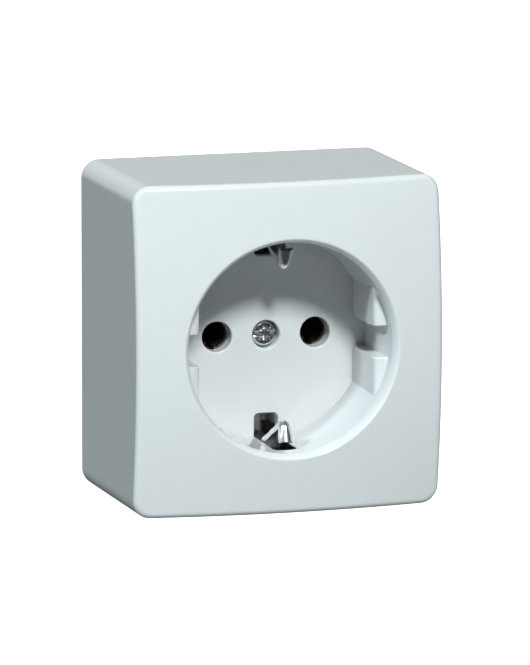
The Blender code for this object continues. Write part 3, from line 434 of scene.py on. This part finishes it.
cover = {
    "width": 58.8 * mm, "height": 61.8 * mm, "corner": 3.4 * mm, "wall": 2.0 * mm, "backEase": 0.3 * mm,
    "domeRadius": 160 * mm, "frontFillet": 1.2 * mm, "frontSkin": 2.2 * mm, "rimTop": -39.785 * mm,
    "recess": 19.6 * mm, "draft": 0.34 * mm, "lip": 1.0 * mm, "lipDepth": 1.9 * mm, "lipPower": 1.5,
    "floorFront": -22.35 * mm, "floorBack": -20.35 * mm, "floorFillet": 0.03 * mm, "cupWall": 1.8 * mm,
    # steps along straight sides and rounds
    "sideSteps": 14, "cornerSteps": 12, "floorSteps": 5, "lipSteps": 12, "filletSteps": 8,
    # where rings lie: up the recess wall, out over the dome and along the sides
    "wallShares": (0.1, 0.4, 0.7, 0.95), "domeShares": (0.04, 0.16, 0.3, 0.44, 0.58, 0.72, 0.86, 0.96),
    "sideRings": (-30 * mm, -18 * mm, -6 * mm), "smoothAngle": 28, "flatWeight": 60,
    "floorRing": 1.4,  # the recess floor's own ring, in fillets from the wall
}
cover["lipCentre"] = cover["recess"] + cover["lip"]
cover["domeCentre"] = cover["rimTop"] + math.sqrt(cover["domeRadius"]**2 - cover["lipCentre"]**2)
cover["floorRadius"] = cover["recess"] - cover["draft"]
cover["cupRadius"] = cover["floorRadius"] + cover["cupWall"]


def onDome(x, z, skin=0.0):
    return cover["domeCentre"] - math.sqrt((cover["domeRadius"] - skin)**2 - x * x - z * z)


def domed(outline, skin=0.0):
    return [(x, onDome(x, z, skin), z) for x, z in outline]


def blend(a, b, t):
    return [(p[0] + (q[0] - p[0]) * t, p[1] + (q[1] - p[1]) * t) for p, q in zip(a, b)]


def coverOutline(inset):
    return roundedRect(cover["width"] / 2 - inset, cover["height"] / 2 - inset, cover["corner"] - inset,
                       cover["sideSteps"], cover["cornerSteps"])


def filletRings():
    # the front edge rolls from the straight side into the dome, tangent to both
    fillet = cover["frontFillet"]
    rings = []
    for step in range(cover["filletSteps"] + 1):
        share = step / cover["filletSteps"]
        ring = []
        for (ex, ez), (ix, iz) in zip(coverOutline(0.0), coverOutline(fillet)):
            out = Vector((ex - ix, ez - iz)).normalized()
            slope = math.asin((ix * out.x + iz * out.y) / cover["domeRadius"])
            turn = share * (quarterTurn - slope)
            inset = fillet * math.sin(slope)
            centreY = onDome(ix + out.x * inset, iz + out.y * inset) + fillet * math.cos(slope)
            reach = fillet * math.cos(turn)
            ring.append((ix + out.x * reach, centreY - fillet * math.sin(turn), iz + out.y * reach))
        rings.append(ring)
    return rings


def recessRings(count):
    # the floor's edge, the small round between floor and wall, and the wall up to the lip
    floor, fillet, front = cover["floorRadius"], cover["floorFillet"], cover["floorFront"]
    rings = [ringAt(circle(floor - fillet * cover["floorRing"], count), front)]
    for step in range(cover["floorSteps"] + 1):
        a = quarterTurn * step / cover["floorSteps"]
        rings.append(ringAt(circle(floor - fillet + fillet * math.sin(a), count),
                            front - fillet + fillet * math.cos(a)))
    wallEnd = cover["rimTop"] + cover["lipDepth"]
    for share in cover["wallShares"]:
        y = front - fillet + (wallEnd - front + fillet) * share
        rings.append(ringAt(circle(floor + cover["draft"] * share, count), y))
    return rings


def lipRings(count):
    # a deep lip, between a chamfer and a round, that ends tangent to the dome
    slope = math.asin(cover["lipCentre"] / cover["domeRadius"]) * cover["lip"] / cover["lipDepth"]
    rings = []
    for step in range(cover["lipSteps"] + 1):
        a = quarterTurn - (quarterTurn + slope) * step / cover["lipSteps"]
        inwards = math.copysign(abs(math.sin(a))**(2 / cover["lipPower"]), a)
        forwards = math.cos(a)**(2 / cover["lipPower"])
        rings.append(ringAt(circle(cover["lipCentre"] - cover["lip"] * inwards, count),
                            cover["rimTop"] + cover["lipDepth"] * (1 - forwards)))
    return rings


def coverRings():
    outline = coverOutline(0.0)
    count = len(outline)
    rings = recessRings(count) + lipRings(count)
    lipEdge = [(x, z) for x, _, z in rings[-1]]
    fillets = filletRings()
    outerEdge = [(x, z) for x, _, z in fillets[-1]]
    rings += [domed(blend(lipEdge, outerEdge, share)) for share in cover["domeShares"]]
    rings += list(reversed(fillets))
    rings += [ringAt(outline, y) for y in (*cover["sideRings"], -cover["backEase"])]
    rings.append(ringAt(coverOutline(cover["backEase"]), 0.0))
    inner = coverOutline(cover["wall"])
    rings.append(ringAt(inner, 0.0))
    halfX = cover["width"] / 2 - cover["wall"] - cover["frontFillet"] / 2
    halfZ = cover["height"] / 2 - cover["wall"] - cover["frontFillet"] / 2
    innerFront = roundedRect(halfX, halfZ, cover["corner"] - cover["wall"], cover["sideSteps"],
                             cover["cornerSteps"])
    rings.append([(x, onDome(u, w, cover["frontSkin"]) + cover["frontFillet"] / 2, z)
                  for (x, z), (u, w) in zip(inner, innerFront)])
    cupEdge = circle(cover["recess"] + cover["cupWall"], count)
    rings += [domed(blend(innerFront, cupEdge, share), cover["frontSkin"]) for share in (0.0, 0.5, 1.0)]
    rings.append(ringAt(circle(cover["cupRadius"], count), cover["floorBack"]))
    return rings


block = {"reach": 2.85 * mm, "gap": 5.8 * mm, "setback": 3.6 * mm, "frontEdge": 1.1 * mm, "gapEdge": 0.35 * mm,
         "root": 1 * mm, "arcSteps": 15, "frontSteps": 6, "gapSteps": 3}


def guideBlock(side, half):
    outer = cover["cupRadius"] - cover["cupWall"] / 3  # it ends inside the cup's wall
    flat = cover["recess"] - block["reach"]
    start = block["gap"] / 2
    a0, a1 = math.asin(start / outer), math.acos(flat / outer)
    turns = [a0 + (a1 - a0) * k / block["arcSteps"] for k in range(block["arcSteps"] + 1)]
    corners = [(flat, start)] + [(outer * math.cos(a), outer * math.sin(a)) for a in turns]
    outline = [(side * x, half * z) for x, z in corners]
    foot, front = cover["floorFront"] + block["root"], cover["rimTop"] + block["setback"]
    piece = grownPiece("guideBlock", [ringAt(outline, foot), ringAt(outline, front)])

    def acrossFront(edge):
        return all(abs(abs(v.co.x) - flat) < touch and abs(v.co.y - front) < touch for v in edge.verts)

    def alongGap(edge):
        ends = [v.co for v in edge.verts]
        atGap = all(abs(abs(p.z) - start) < touch and p.y < cover["floorFront"] for p in ends)
        back = any(abs(abs(p.x) - flat) < touch for p in ends)
        inner = all(abs(p.x) < outer * math.cos(a0) - 10 * touch or p.y < front + touch for p in ends)
        return atGap and (back or inner)

    editMesh(piece)
    pickEdges(piece, acrossFront)
    bpy.ops.mesh.bevel(offset=block["frontEdge"], segments=block["frontSteps"], affect="EDGES")
    pickEdges(piece, alongGap)
    bpy.ops.mesh.bevel(offset=block["gapEdge"], segments=block["gapSteps"], affect="EDGES")
    leaveEdit()
    return piece


opening = {
    "ease": 0.3 * mm, "easeSteps": 4, "pinX": 9.5 * mm, "pinRadius": 2.86 * mm, "roundSteps": 64,
    "screwRadius": 2.65 * mm, "screwSeat": -19.45 * mm, "shank": 1.7 * mm,
    "bossRadius": 4.25 * mm, "bossFront": -21.35 * mm, "bossBack": -17.35 * mm, "bossSteps": 48,
    "windowHalf": 2.3 * mm, "windowStart": 14.8 * mm, "windowCorner": 0.9 * mm, "windowEase": 0.24 * mm,
    "windowLead": 0.05 * mm, "windowSteps": 6, "slotLength": 12.8 * mm, "slotBehind": 0.5 * mm,
    # how much wider the side slot gets, and how far out from its start, in mm
    "slotSpread": ((0.0, 0.0), (0.0, 2.5), (2.0, 3.3), (2.0, 6.0)),
}


def easedMouth(radius, floor, ease):
    # (radius, y) of a hole's rounded mouth, from the floor inwards
    mouth = []
    for step in range(opening["easeSteps"] + 1):
        a = quarterTurn * step / opening["easeSteps"]
        mouth.append((radius + ease * (1 - math.sin(a)), floor + ease * (1 - math.cos(a))))
    return mouth


def cutRoundHoles(piece):
    # both pin holes and the stepped hole of the cover screw
    floor, back, ease = cover["floorFront"], cover["floorBack"], opening["ease"]
    pin, screw, shank = opening["pinRadius"], opening["screwRadius"], opening["shank"]
    for side in (-1, 1):
        profile = [(pin + ease, floor - mm)] + easedMouth(pin, floor, ease) + [(pin, back + mm)]
        rings = turnedRings(profile, opening["roundSteps"], (side * opening["pinX"], 0.0))
        combine(piece, grownPiece("pinTool", rings), "DIFFERENCE")
    profile = [(screw + ease, floor - mm)] + easedMouth(screw, floor, ease)
    profile += [(screw, opening["screwSeat"]), (shank, opening["screwSeat"]), (shank, opening["bossBack"] + mm)]
    combine(piece, grownPiece("screwTool", turnedRings(profile, opening["roundSteps"])), "DIFFERENCE")


def cutWindows(piece):
    # the windows in the floor that the earth contacts come through
    floor, ease = cover["floorFront"], opening["windowEase"]
    far = cover["cupRadius"] + mm
    middle, length = (opening["windowStart"] + far) / 2, far - opening["windowStart"]
    mouth = [(ease, floor - opening["windowLead"])] + easedMouth(0.0, floor, ease)
    for half in (-1, 1):
        rings = []
        for grow, y in mouth + [(0.0, cover["floorBack"] + mm)]:
            outline = roundedRect(opening["windowHalf"] + grow, length / 2 + grow,
                                  opening["windowCorner"] + grow, 1, opening["windowSteps"])
            rings.append(ringAt([(x, half * middle + z) for x, z in outline], y))
        combine(piece, grownPiece("windowTool", rings), "DIFFERENCE")


def cutSideSlots(piece):
    # the slots in the recess wall that the earth contacts stand in, wider behind their edge
    front, rear = cover["floorFront"] - opening["slotLength"], cover["floorBack"] + opening["slotBehind"]
    middle, start = (rear + front) / 2 + mm, (opening["windowStart"] + cover["floorRadius"]) / 2
    for half in (-1, 1):
        rings = []
        for grow, out in opening["slotSpread"]:
            outline = roundedRect(opening["windowHalf"] + grow * mm, (rear - front) / 2 + mm,
                                  opening["windowCorner"], 1, opening["windowSteps"])
            rings.append(ringAt(outline, out * mm))
        tool = grownPiece("slotTool", rings)
        # laid over so that it grows up or down out of the recess
        tool.data.transform(Matrix(((1, 0, 0, 0), (0, 0, 1, middle), (0, half, 0, half * start), (0, 0, 0, 1))))
        editMesh(tool)
        faceOutwards()
        leaveEdit()
        combine(piece, tool, "DIFFERENCE")


def easedBlock(name, low, high, ease):
    # a cube stretched between two corners, with the edges that run from front to back eased
    piece = startPiece(name, bpy.ops.mesh.primitive_cube_add, size=2.0)
    for v in piece.data.vertices:
        v.co = [lo + (hi - lo) * (c + 1) / 2 for c, lo, hi in zip(v.co, low, high)]
    editMesh(piece)
    pickEdges(piece, lambda e: abs(e.verts[0].co.y - e.verts[1].co.y) > touch)
    bpy.ops.mesh.bevel(offset=ease, segments=2, affect="EDGES")
    leaveEdit()
    return piece


inside = {
    "halfX": 27.4 * mm, "halfZ": 28.9 * mm, "thin": 0.6 * mm, "ease": 0.15 * mm,
    "webFront": 6 * mm, "webBack": -28.17 * mm, "webRoot": 0.9 * mm, "webShort": 1.2 * mm,
    "ribFront": -22.35 * mm, "ribBack": -6.3 * mm, "ribBite": 0.15 * mm, "ribReach": 1.15 * mm,
    "knockHalf": 7 * mm, "knockSkin": 0.8 * mm, "knockFront": -18.0 * mm, "knockBack": -2.5 * mm,
    "knockStart": 2 * mm, "knockEase": 0.5 * mm,
}


def addRibs(piece):
    # webs from the cup to the corners, and ribs that stand on the base plate's rim
    halfX, halfZ, thin, ease = inside["halfX"], inside["halfZ"], inside["thin"], inside["ease"]
    reach, tilt = math.hypot(halfX, halfZ), math.atan2(halfZ, halfX)
    low = (cover["cupRadius"] - inside["webRoot"], cover["rimTop"] + inside["webFront"], -thin)
    high = (reach - inside["webShort"], inside["webBack"], thin)
    for turn in (tilt, math.pi - tilt, math.pi + tilt, -tilt):
        web = easedBlock("web", low, high, ease)
        web.data.transform(Matrix.Rotation(-turn, 4, "Y"))
        combine(piece, web, "UNION")
    for side in (-1, 1):
        for half in (-1, 1):
            onSide = (side * (halfX - inside["ribBite"]), half * halfZ / 2, inside["ribReach"], thin)
            onEnd = (side * halfX / 2, half * (halfZ - inside["ribBite"]), thin, inside["ribReach"])
            for x, z, wide, tall in (onSide, onEnd):
                low, high = (x - wide, inside["ribFront"], z - tall), (x + wide, inside["ribBack"], z + tall)
                combine(piece, easedBlock("rib", low, high, ease), "UNION")


def thinKnockOuts(piece):
    # the wall is thinner where a surface cable's way in can be broken out
    wide = inside["knockHalf"]
    for half in (-1, 1):
        ends = sorted((half * (inside["halfZ"] - inside["knockStart"]),
                       half * (cover["height"] / 2 - inside["knockSkin"])))
        low, high = (-wide, inside["knockFront"], ends[0]), (wide, inside["knockBack"], ends[1])
        combine(piece, easedBlock("knockOut", low, high, inside["knockEase"]), "DIFFERENCE")


def makeCover():
    piece = grownPiece("coverMoulding", coverRings())
    for side in (-1, 1):
        for half in (-1, 1):
            combine(piece, guideBlock(side, half), "UNION")
    bossEnds = [(opening["bossRadius"], opening["bossFront"]), (opening["bossRadius"], opening["bossBack"])]
    combine(piece, grownPiece("boss", turnedRings(bossEnds, opening["bossSteps"])), "UNION")
    addRibs(piece)
    thinKnockOuts(piece)
    cutRoundHoles(piece)
    cutWindows(piece)
    cutSideSlots(piece)
    smoothPiece(piece, cover["smoothAngle"])
    applyModifier(piece, "WEIGHTED_NORMAL", keep_sharp=True, weight=cover["flatWeight"])
    dress(piece, finish["coverGloss"], "socket", "cover_plastic", "cover")


makeCover()
print("cover made")


# earth contacts: one strip with a sprung arm at each end

strip = {
    "thick": 1.0 * mm, "plateWidth": 6.4 * mm, "camber": 0.75 * mm, "columns": 16, "step": 0.4 * mm,
    # middle line in y and z, from an arm's tip back to the centre, and the bend at each corner, in mm
    "corners": [(-35.45, 18.05), (-34.05, 14.35), (-24.0, 20.76), (-11.85, 20.76), (-11.85, 0.0)],
    "bends": (1.25, 3.0, 1.2), "bendSteps": 8,
    # distance from the tip and full width in mm, and share of the camber
    "stations": [(0.0, 2.5, 0.7), (0.8, 2.6, 0.8), (2.9, 2.2, 1.0), (4.8, 2.2, 1.0), (8.2, 3.0, 0.5),
                 (12.2, 3.9, 0.0), (30.7, 3.9, 0.0), (35.2, 6.4, 0.0), (60.0, 6.4, 0.0)],
    "front": -12.35 * mm, "back": -11.35 * mm, "tabX": (1.6 * mm, 14.4 * mm), "tabZ": (8.1 * mm, 15.9 * mm),
    "tabCorner": 0.8 * mm, "terminal": (11.2 * mm, 12.0 * mm), "rivetZ": 12.5 * mm,
    "boreBush": 2.4 * mm, "boreRivet": 1.5 * mm, "boreTerminal": 1.95 * mm, "boreSteps": 40,
    "edge": 0.09 * mm, "edgeSteps": 3, "edgeAngle": 48, "smoothAngle": 30,
}


def bentLine(corners, bends, steps):
    # a line in y and z with each inner corner rounded to its bend
    line = [Vector(corners[0])]
    for corner, before, after, bend in zip(corners[1:-1], corners, corners[2:], bends):
        here = Vector(corner)
        back, on = (Vector(before) - here).normalized(), (Vector(after) - here).normalized()
        half = back.angle(on) / 2
        start, end = here + back * bend / math.tan(half), here + on * bend / math.tan(half)
        centre = here + (back + on).normalized() * bend / math.sin(half)
        sweep = (start - centre).angle_signed(end - centre)
        line += [centre + Matrix.Rotation(-sweep * k / steps, 2) @ (start - centre) for k in range(steps + 1)]
    return line + [Vector(corners[-1])]


def widthAt(distance):
    for (d0, w0, c0), (d1, w1, c1) in zip(strip["stations"], strip["stations"][1:]):
        if distance <= d1:
            t = (distance - d0) / (d1 - d0)
            t = t * t * (3 - 2 * t)
            return (w0 + (w1 - w0) * t) * mm, (c0 + (c1 - c0) * t) * strip["camber"]
    return strip["plateWidth"], 0.0


def stripRings():
    line = bentLine(strip["corners"], strip["bends"], strip["bendSteps"])
    marks = []
    for a, b in zip(line, line[1:]):
        pieces = max(1, round((b - a).length * mm / strip["step"]))
        marks += [a + (b - a) * k / pieces for k in range(pieces)]
    marks.append(line[-1])
    columns = strip["columns"]
    rings, distance = [], 0.0
    for k, here in enumerate(marks):
        distance += (here - marks[k - 1]).length if k else 0.0
        along = (marks[min(k + 1, len(marks) - 1)] - marks[max(k - 1, 0)]).normalized()
        wide, camber = widthAt(distance)
        ring = []
        for face, order in ((1, range(columns + 1)), (-1, range(columns, -1, -1))):
            for column in order:
                u = 2 * column / columns - 1
                lift = camber / 2 - camber * (1 - u * u) + face * strip["thick"] / 2
                ring.append((u * wide / 2, here.x * mm - along.y * lift, here.y * mm + along.x * lift))
        rings.append(ring)
    mirrored = [[(x, y, -z) for x, y, z in ring] for ring in rings]
    return mirrored + rings[-2::-1]


def makeStrip():
    piece = grownPiece("earthStrip", stripRings())
    low, high = zip(strip["tabX"], (strip["front"], strip["back"]), strip["tabZ"])
    combine(piece, easedBlock("tab", low, high, strip["tabCorner"]), "UNION")
    bores = [(strip["boreBush"], (0.0, 0.0)), (strip["boreTerminal"], strip["terminal"])]
    bores += [(strip["boreRivet"], (0.0, half * strip["rivetZ"])) for half in (-1, 1)]
    for radius, centre in bores:
        profile = [(radius, strip["front"] - mm), (radius, strip["back"] + mm)]
        combine(piece, grownPiece("bore", turnedRings(profile, strip["boreSteps"], centre)), "DIFFERENCE")
    easeEdges(piece, strip["edge"], strip["edgeSteps"], strip["edgeAngle"])
    smoothPiece(piece, strip["smoothAngle"])
    dress(piece, finish["nickelStrip"], "socket", "nickel_strip", "earth_bracket")


makeStrip()
print("earth contacts made")


# cover screw: cheese head with a slot, a cross recess and four ticks, and a turned thread

coverScrew = {
    "top": -21.35 * mm, "under": -19.75 * mm, "head": 2.35 * mm, "shank": 1.5 * mm, "end": -7.3 * mm,
    # the head's face: how far in from its side and down from its top, in mm
    "faceRound": ((2.05, 0.01), (1.2775, 0.01), (0.4, 0.04), (0.3, 0.09), (0.12, 0.3), (0.04, 0.52),
                  (0.0, 0.6)),
    "underEase": (0.1 * mm, 0.12 * mm), "neckRound": 0.15 * mm, "pointEase": 0.2 * mm, "around": 32,
    "thread": 0.22 * mm, "pitch": 0.5 * mm, "pitchSteps": 6, "threadStart": -16.9 * mm,
    "threadLead": 0.1 * mm, "threadStop": 0.3 * mm,
    # widths, depths and how much each cut narrows towards its bottom
    "slotWidth": 0.72 * mm, "slotDepth": 1.25 * mm, "slotTaper": 0.15,
    "crossReach": 1.3 * mm, "crossWidth": 0.62 * mm, "crossDepth": 1.25 * mm, "crossTaper": 0.5,
    "worn": 0.3 * mm, "wornDepth": 0.18 * mm, "crossWorn": 0.21 * mm, "crossWornTaper": 0.4,
    "tickFrom": 0.75 * mm, "tickTo": 1.75 * mm, "tickWidth": 0.34 * mm, "tickDepth": 0.3 * mm, "tickTaper": 0.8,
    "cutAbove": 0.2 * mm, "cutEase": 0.01 * mm,
    "edge": 0.035 * mm, "edgeSteps": 2, "edgeAngle": 40, "smoothAngle": 35,
}


def threadRings():
    # each ring's points rise and fall with the turn, so the crest runs round as a real thread does
    start, end, pitch = coverScrew["threadStart"], coverScrew["end"], coverScrew["pitch"]
    rings, y = [], start
    while y < end - coverScrew["threadStop"]:
        ring = []
        for x, z in circle(1.0, coverScrew["around"]):
            turn = math.atan2(z, x) / fullTurn
            phase = ((y - start) / pitch - turn) % 1.0
            crest = abs(phase - 0.5) * 2
            fade = min(1.0, (y - start) / pitch, (end - coverScrew["pointEase"] - y) / pitch)
            radius = coverScrew["shank"] - coverScrew["thread"] * crest * fade
            ring.append((x * radius, y, z * radius))
        rings.append(ring)
        y += pitch / coverScrew["pitchSteps"]
    return rings


def screwRings():
    top, under, head = coverScrew["top"], coverScrew["under"], coverScrew["head"]
    shank, end, around = coverScrew["shank"], coverScrew["end"], coverScrew["around"]
    easeIn, easeUp = coverScrew["underEase"]
    neck, point = coverScrew["neckRound"], coverScrew["pointEase"]
    profile = [(head - inwards * mm, top + down * mm) for inwards, down in coverScrew["faceRound"]]
    profile += [(head, under - easeUp), (head - easeIn, under), (shank + neck, under), (shank, under + neck)]
    profile.append((shank, coverScrew["threadStart"] - coverScrew["threadLead"]))
    tip = [(shank - point, end - point), (shank - 2 * point, end)]
    return turnedRings(profile, around) + threadRings() + turnedRings(tip, around)


def cutFace(piece, reach, halfWidth, deep, turn, taper):
    # a cut from one reach to the other, narrower towards its bottom, and shorter too if it stays in the face
    start, stop = reach
    top = coverScrew["top"]
    low, high = (start, top - coverScrew["cutAbove"], -halfWidth), (stop, top + deep, halfWidth)
    tool = easedBlock("faceTool", low, high, coverScrew["cutEase"])
    middle = (start + stop) / 2
    for v in tool.data.vertices:
        share = 1 - taper * (v.co.y - top) / deep
        v.co.x = middle + (v.co.x - middle) * (share if stop < coverScrew["head"] else 1.0)
        v.co.z *= share
    tool.data.transform(Matrix.Rotation(turn, 4, "Y"))
    combine(piece, tool, "DIFFERENCE")


def makeScrew():
    piece = grownPiece("coverScrewDetailed", screwRings())
    across = (-coverScrew["head"] - mm, coverScrew["head"] + mm)
    halfSlot, worn, wornDepth = coverScrew["slotWidth"] / 2, coverScrew["worn"], coverScrew["wornDepth"]
    cutFace(piece, across, halfSlot, coverScrew["slotDepth"], 0.0, coverScrew["slotTaper"])
    cutFace(piece, across, halfSlot + worn, wornDepth, 0.0, worn / (halfSlot + worn))
    wing, halfWing = (-coverScrew["crossReach"], coverScrew["crossReach"]), coverScrew["crossWidth"] / 2
    for turn in (0.0, quarterTurn):
        cutFace(piece, wing, halfWing, coverScrew["crossDepth"], turn, coverScrew["crossTaper"])
        cutFace(piece, wing, halfWing + coverScrew["crossWorn"], wornDepth, turn, coverScrew["crossWornTaper"])
    tick, halfTick = (coverScrew["tickFrom"], coverScrew["tickTo"]), coverScrew["tickWidth"] / 2
    for quarter in range(4):
        turn = math.pi / 4 + quarter * quarterTurn
        cutFace(piece, tick, halfTick, coverScrew["tickDepth"], turn, coverScrew["tickTaper"])
    easeEdges(piece, coverScrew["edge"], coverScrew["edgeSteps"], coverScrew["edgeAngle"])
    smoothPiece(piece, coverScrew["smoothAngle"])
    dress(piece, finish["zincScrew"], "cover_screw", "zinc_steel", "cover_screw")


makeScrew()
print("cover screw made")


# hidden nodes with round faces: copies that are merged, eased and smoothed

smoothed = {
    # node: body, slot, finish and how far its edges are eased
    "live_contact_left": ("socket", "contact_brass", "contactBrass", 0.05 * mm),
    "live_contact_right": ("socket", "contact_brass", "contactBrass", 0.05 * mm),
    "insert_body": ("socket", "insert_thermoset", "insertPressed", 0.12 * mm),
    "base_plate": ("socket", "base_plastic", "baseSatin", 0.18 * mm),
    "clip_spring_left": ("socket", "spring_steel", "springSteel", 0.05 * mm),
    "clip_spring_right": ("socket", "spring_steel", "springSteel", 0.05 * mm),
    "cover_screw_bush": ("socket", "contact_brass", "contactBrass", 0.06 * mm),
    "screw_washer": ("washer", "washer_nylon", "washerNylon", 0.06 * mm),
}
copying = {"merge": 0.002 * mm, "flatAngle": 0.5, "edgeSteps": 2, "edgeAngle": 50, "smoothAngle": 32}


def smoothCopy(nodeName, body, slotName, finishName, ease):
    piece = bpy.data.objects.new(nodeName + "Eased", nodes[nodeName].data.copy())
    bpy.context.collection.objects.link(piece)
    editMesh(piece)
    bpy.ops.mesh.select_all(action="SELECT")
    bpy.ops.mesh.customdata_custom_splitnormals_clear()
    bpy.ops.mesh.remove_doubles(threshold=copying["merge"])
    bpy.ops.mesh.dissolve_limited(angle_limit=math.radians(copying["flatAngle"]))
    leaveEdit()
    easeEdges(piece, ease, copying["edgeSteps"], copying["edgeAngle"])
    smoothPiece(piece, copying["smoothAngle"])
    dress(piece, finish[finishName], body, slotName, nodeName)


for nodeName, settings in smoothed.items():
    smoothCopy(nodeName, *settings)
print("hidden nodes eased")


# the other nodes show their own mesh and only get their finish
nodeFinish = {
    "contact_retainer": "retainerBoard",
    "clamp_plate_left": "zincScrew", "clamp_plate_right": "zincScrew", "clamp_plate_earth": "zincScrew",
    "terminal_screw_left": "zincScrew", "terminal_screw_right": "zincScrew",
    "terminal_screw_earth": "zincScrew", "insert_screw_left": "zincScrew", "insert_screw_right": "zincScrew",
    "earth_rivet_upper": "contactBrass", "earth_rivet_lower": "contactBrass",
}
for nodeName, finishName in nodeFinish.items():
    for place in nodes[nodeName].material_slots:
        place.material = finish[finishName]
print("nodes finished")


# floor, light and camera

studio = {
    # the floor is white to the camera, throws less light back and hardly shows in gloss
    "floorZ": -30.9 * mm, "floorSize": 8.0, "floorColour": (0.80, 0.82, 0.83), "floorLift": 1.0,
    "floorBounce": (0.28, 0.28, 0.28), "floorMirrored": (0.03, 0.03, 0.03), "floorRoughness": 0.9,
    "floorSheen": 0.1, "world": (0.86, 0.93, 1.0), "worldStrength": 0.005,
    # name, azimuth, elevation and size in degrees, strength, colour
    "lamps": [("keyLight", -2.0, 41.3, 10.0, 2.93, (1.0, 0.98, 0.97)),
              ("leftLight", -66.0, 37.0, 5.0, 1.29, (0.89, 0.965, 1.0))], "lampDistance": 2,
    "backdropY": 1.6, "backdropWidth": 4, "backdropHeight": 1.2, "backdropGlow": 0.34,
    "backdropColour": (0.02, 0.02, 0.02),
}


def makeFloor():
    floor = startPiece("studioFloor", bpy.ops.mesh.primitive_plane_add, size=studio["floorSize"],
                       location=(0, 0, studio["floorZ"]))
    material, tree, shader = newMaterial("floorPaper")
    shader.inputs["Roughness"].default_value = studio["floorRoughness"]
    shader.inputs["Specular IOR Level"].default_value = studio["floorSheen"]
    path = addNode(tree, "ShaderNodeLightPath")
    paper = addBlend(tree, path.outputs["Is Camera Ray"], (*studio["floorBounce"], 1),
                     (*studio["floorColour"], 1))
    mirrored = addBlend(tree, path.outputs["Is Glossy Ray"], paper, (*studio["floorMirrored"], 1))
    tree.links.new(mirrored, shader.inputs["Base Color"])
    lift = addMaths(tree, "MULTIPLY", path.outputs["Is Camera Ray"], studio["floorLift"])
    shader.inputs["Emission Color"].default_value = (1, 1, 1, 1)
    tree.links.new(lift, shader.inputs["Emission Strength"])
    floor.data.materials.append(material)


def makeBackdrop():
    backdrop = startPiece("studioBackdrop", bpy.ops.mesh.primitive_plane_add, size=1.0,
                          rotation=(quarterTurn, 0, 0))
    for v in backdrop.data.vertices:
        height = (v.co.z + 0.5) * studio["backdropHeight"]
        v.co = (v.co.x * studio["backdropWidth"], studio["backdropY"], studio["floorZ"] + height)
    material, _, shader = newMaterial("backdropPaper")
    shader.inputs["Base Color"].default_value = (*studio["backdropColour"], 1)
    shader.inputs["Emission Color"].default_value = (1, 1, 1, 1)
    shader.inputs["Emission Strength"].default_value = studio["backdropGlow"]
    backdrop.data.materials.append(material)


def makeLights():
    world = bpy.data.worlds.new("studioAir")
    bpy.context.scene.world = world
    world.use_nodes = True
    air = world.node_tree.nodes["Background"]
    air.inputs["Color"].default_value = (*studio["world"], 1)
    air.inputs["Strength"].default_value = studio["worldStrength"]
    for name, azimuth, elevation, size, strength, colour in studio["lamps"]:
        a, e = math.radians(azimuth), math.radians(elevation)
        toLamp = Vector((math.sin(a) * math.cos(e), -math.cos(a) * math.cos(e), math.sin(e)))
        bpy.ops.object.light_add(type="SUN", location=toLamp * studio["lampDistance"])
        lamp = bpy.context.object
        lamp.name = name
        lamp.rotation_euler = toLamp.to_track_quat("Z", "Y").to_euler()
        lamp.data.energy = strength
        lamp.data.angle = math.radians(size)
        lamp.data.color = colour


view = {
    "place": (-439.34 * mm, -1484.01 * mm, 261.84 * mm), "right": (0.95772, -0.28769, 0.00022),
    "up": (0.04837, 0.16177, 0.98564), "forward": (0.28360, 0.94396, -0.16885),
    "focalPixels": 8346.6, "longSide": 665, "sensor": 36.0, "clip": (0.05, 40.0),
}


def makeCamera():
    bpy.ops.object.camera_add(location=view["place"])
    camera = bpy.context.object
    camera.name = "photoCamera"
    axes = Matrix((view["right"], view["up"], [-v for v in view["forward"]])).transposed()
    camera.rotation_mode = "QUATERNION"
    camera.rotation_quaternion = axes.to_quaternion()
    camera.data.sensor_width = view["sensor"]
    camera.data.lens = view["sensor"] * view["focalPixels"] / view["longSide"]
    camera.data.clip_start, camera.data.clip_end = view["clip"]
    bpy.context.scene.camera = camera


makeFloor()
makeBackdrop()
makeLights()
makeCamera()
bpy.context.scene.view_settings.view_transform = "Standard"
print("stage set")
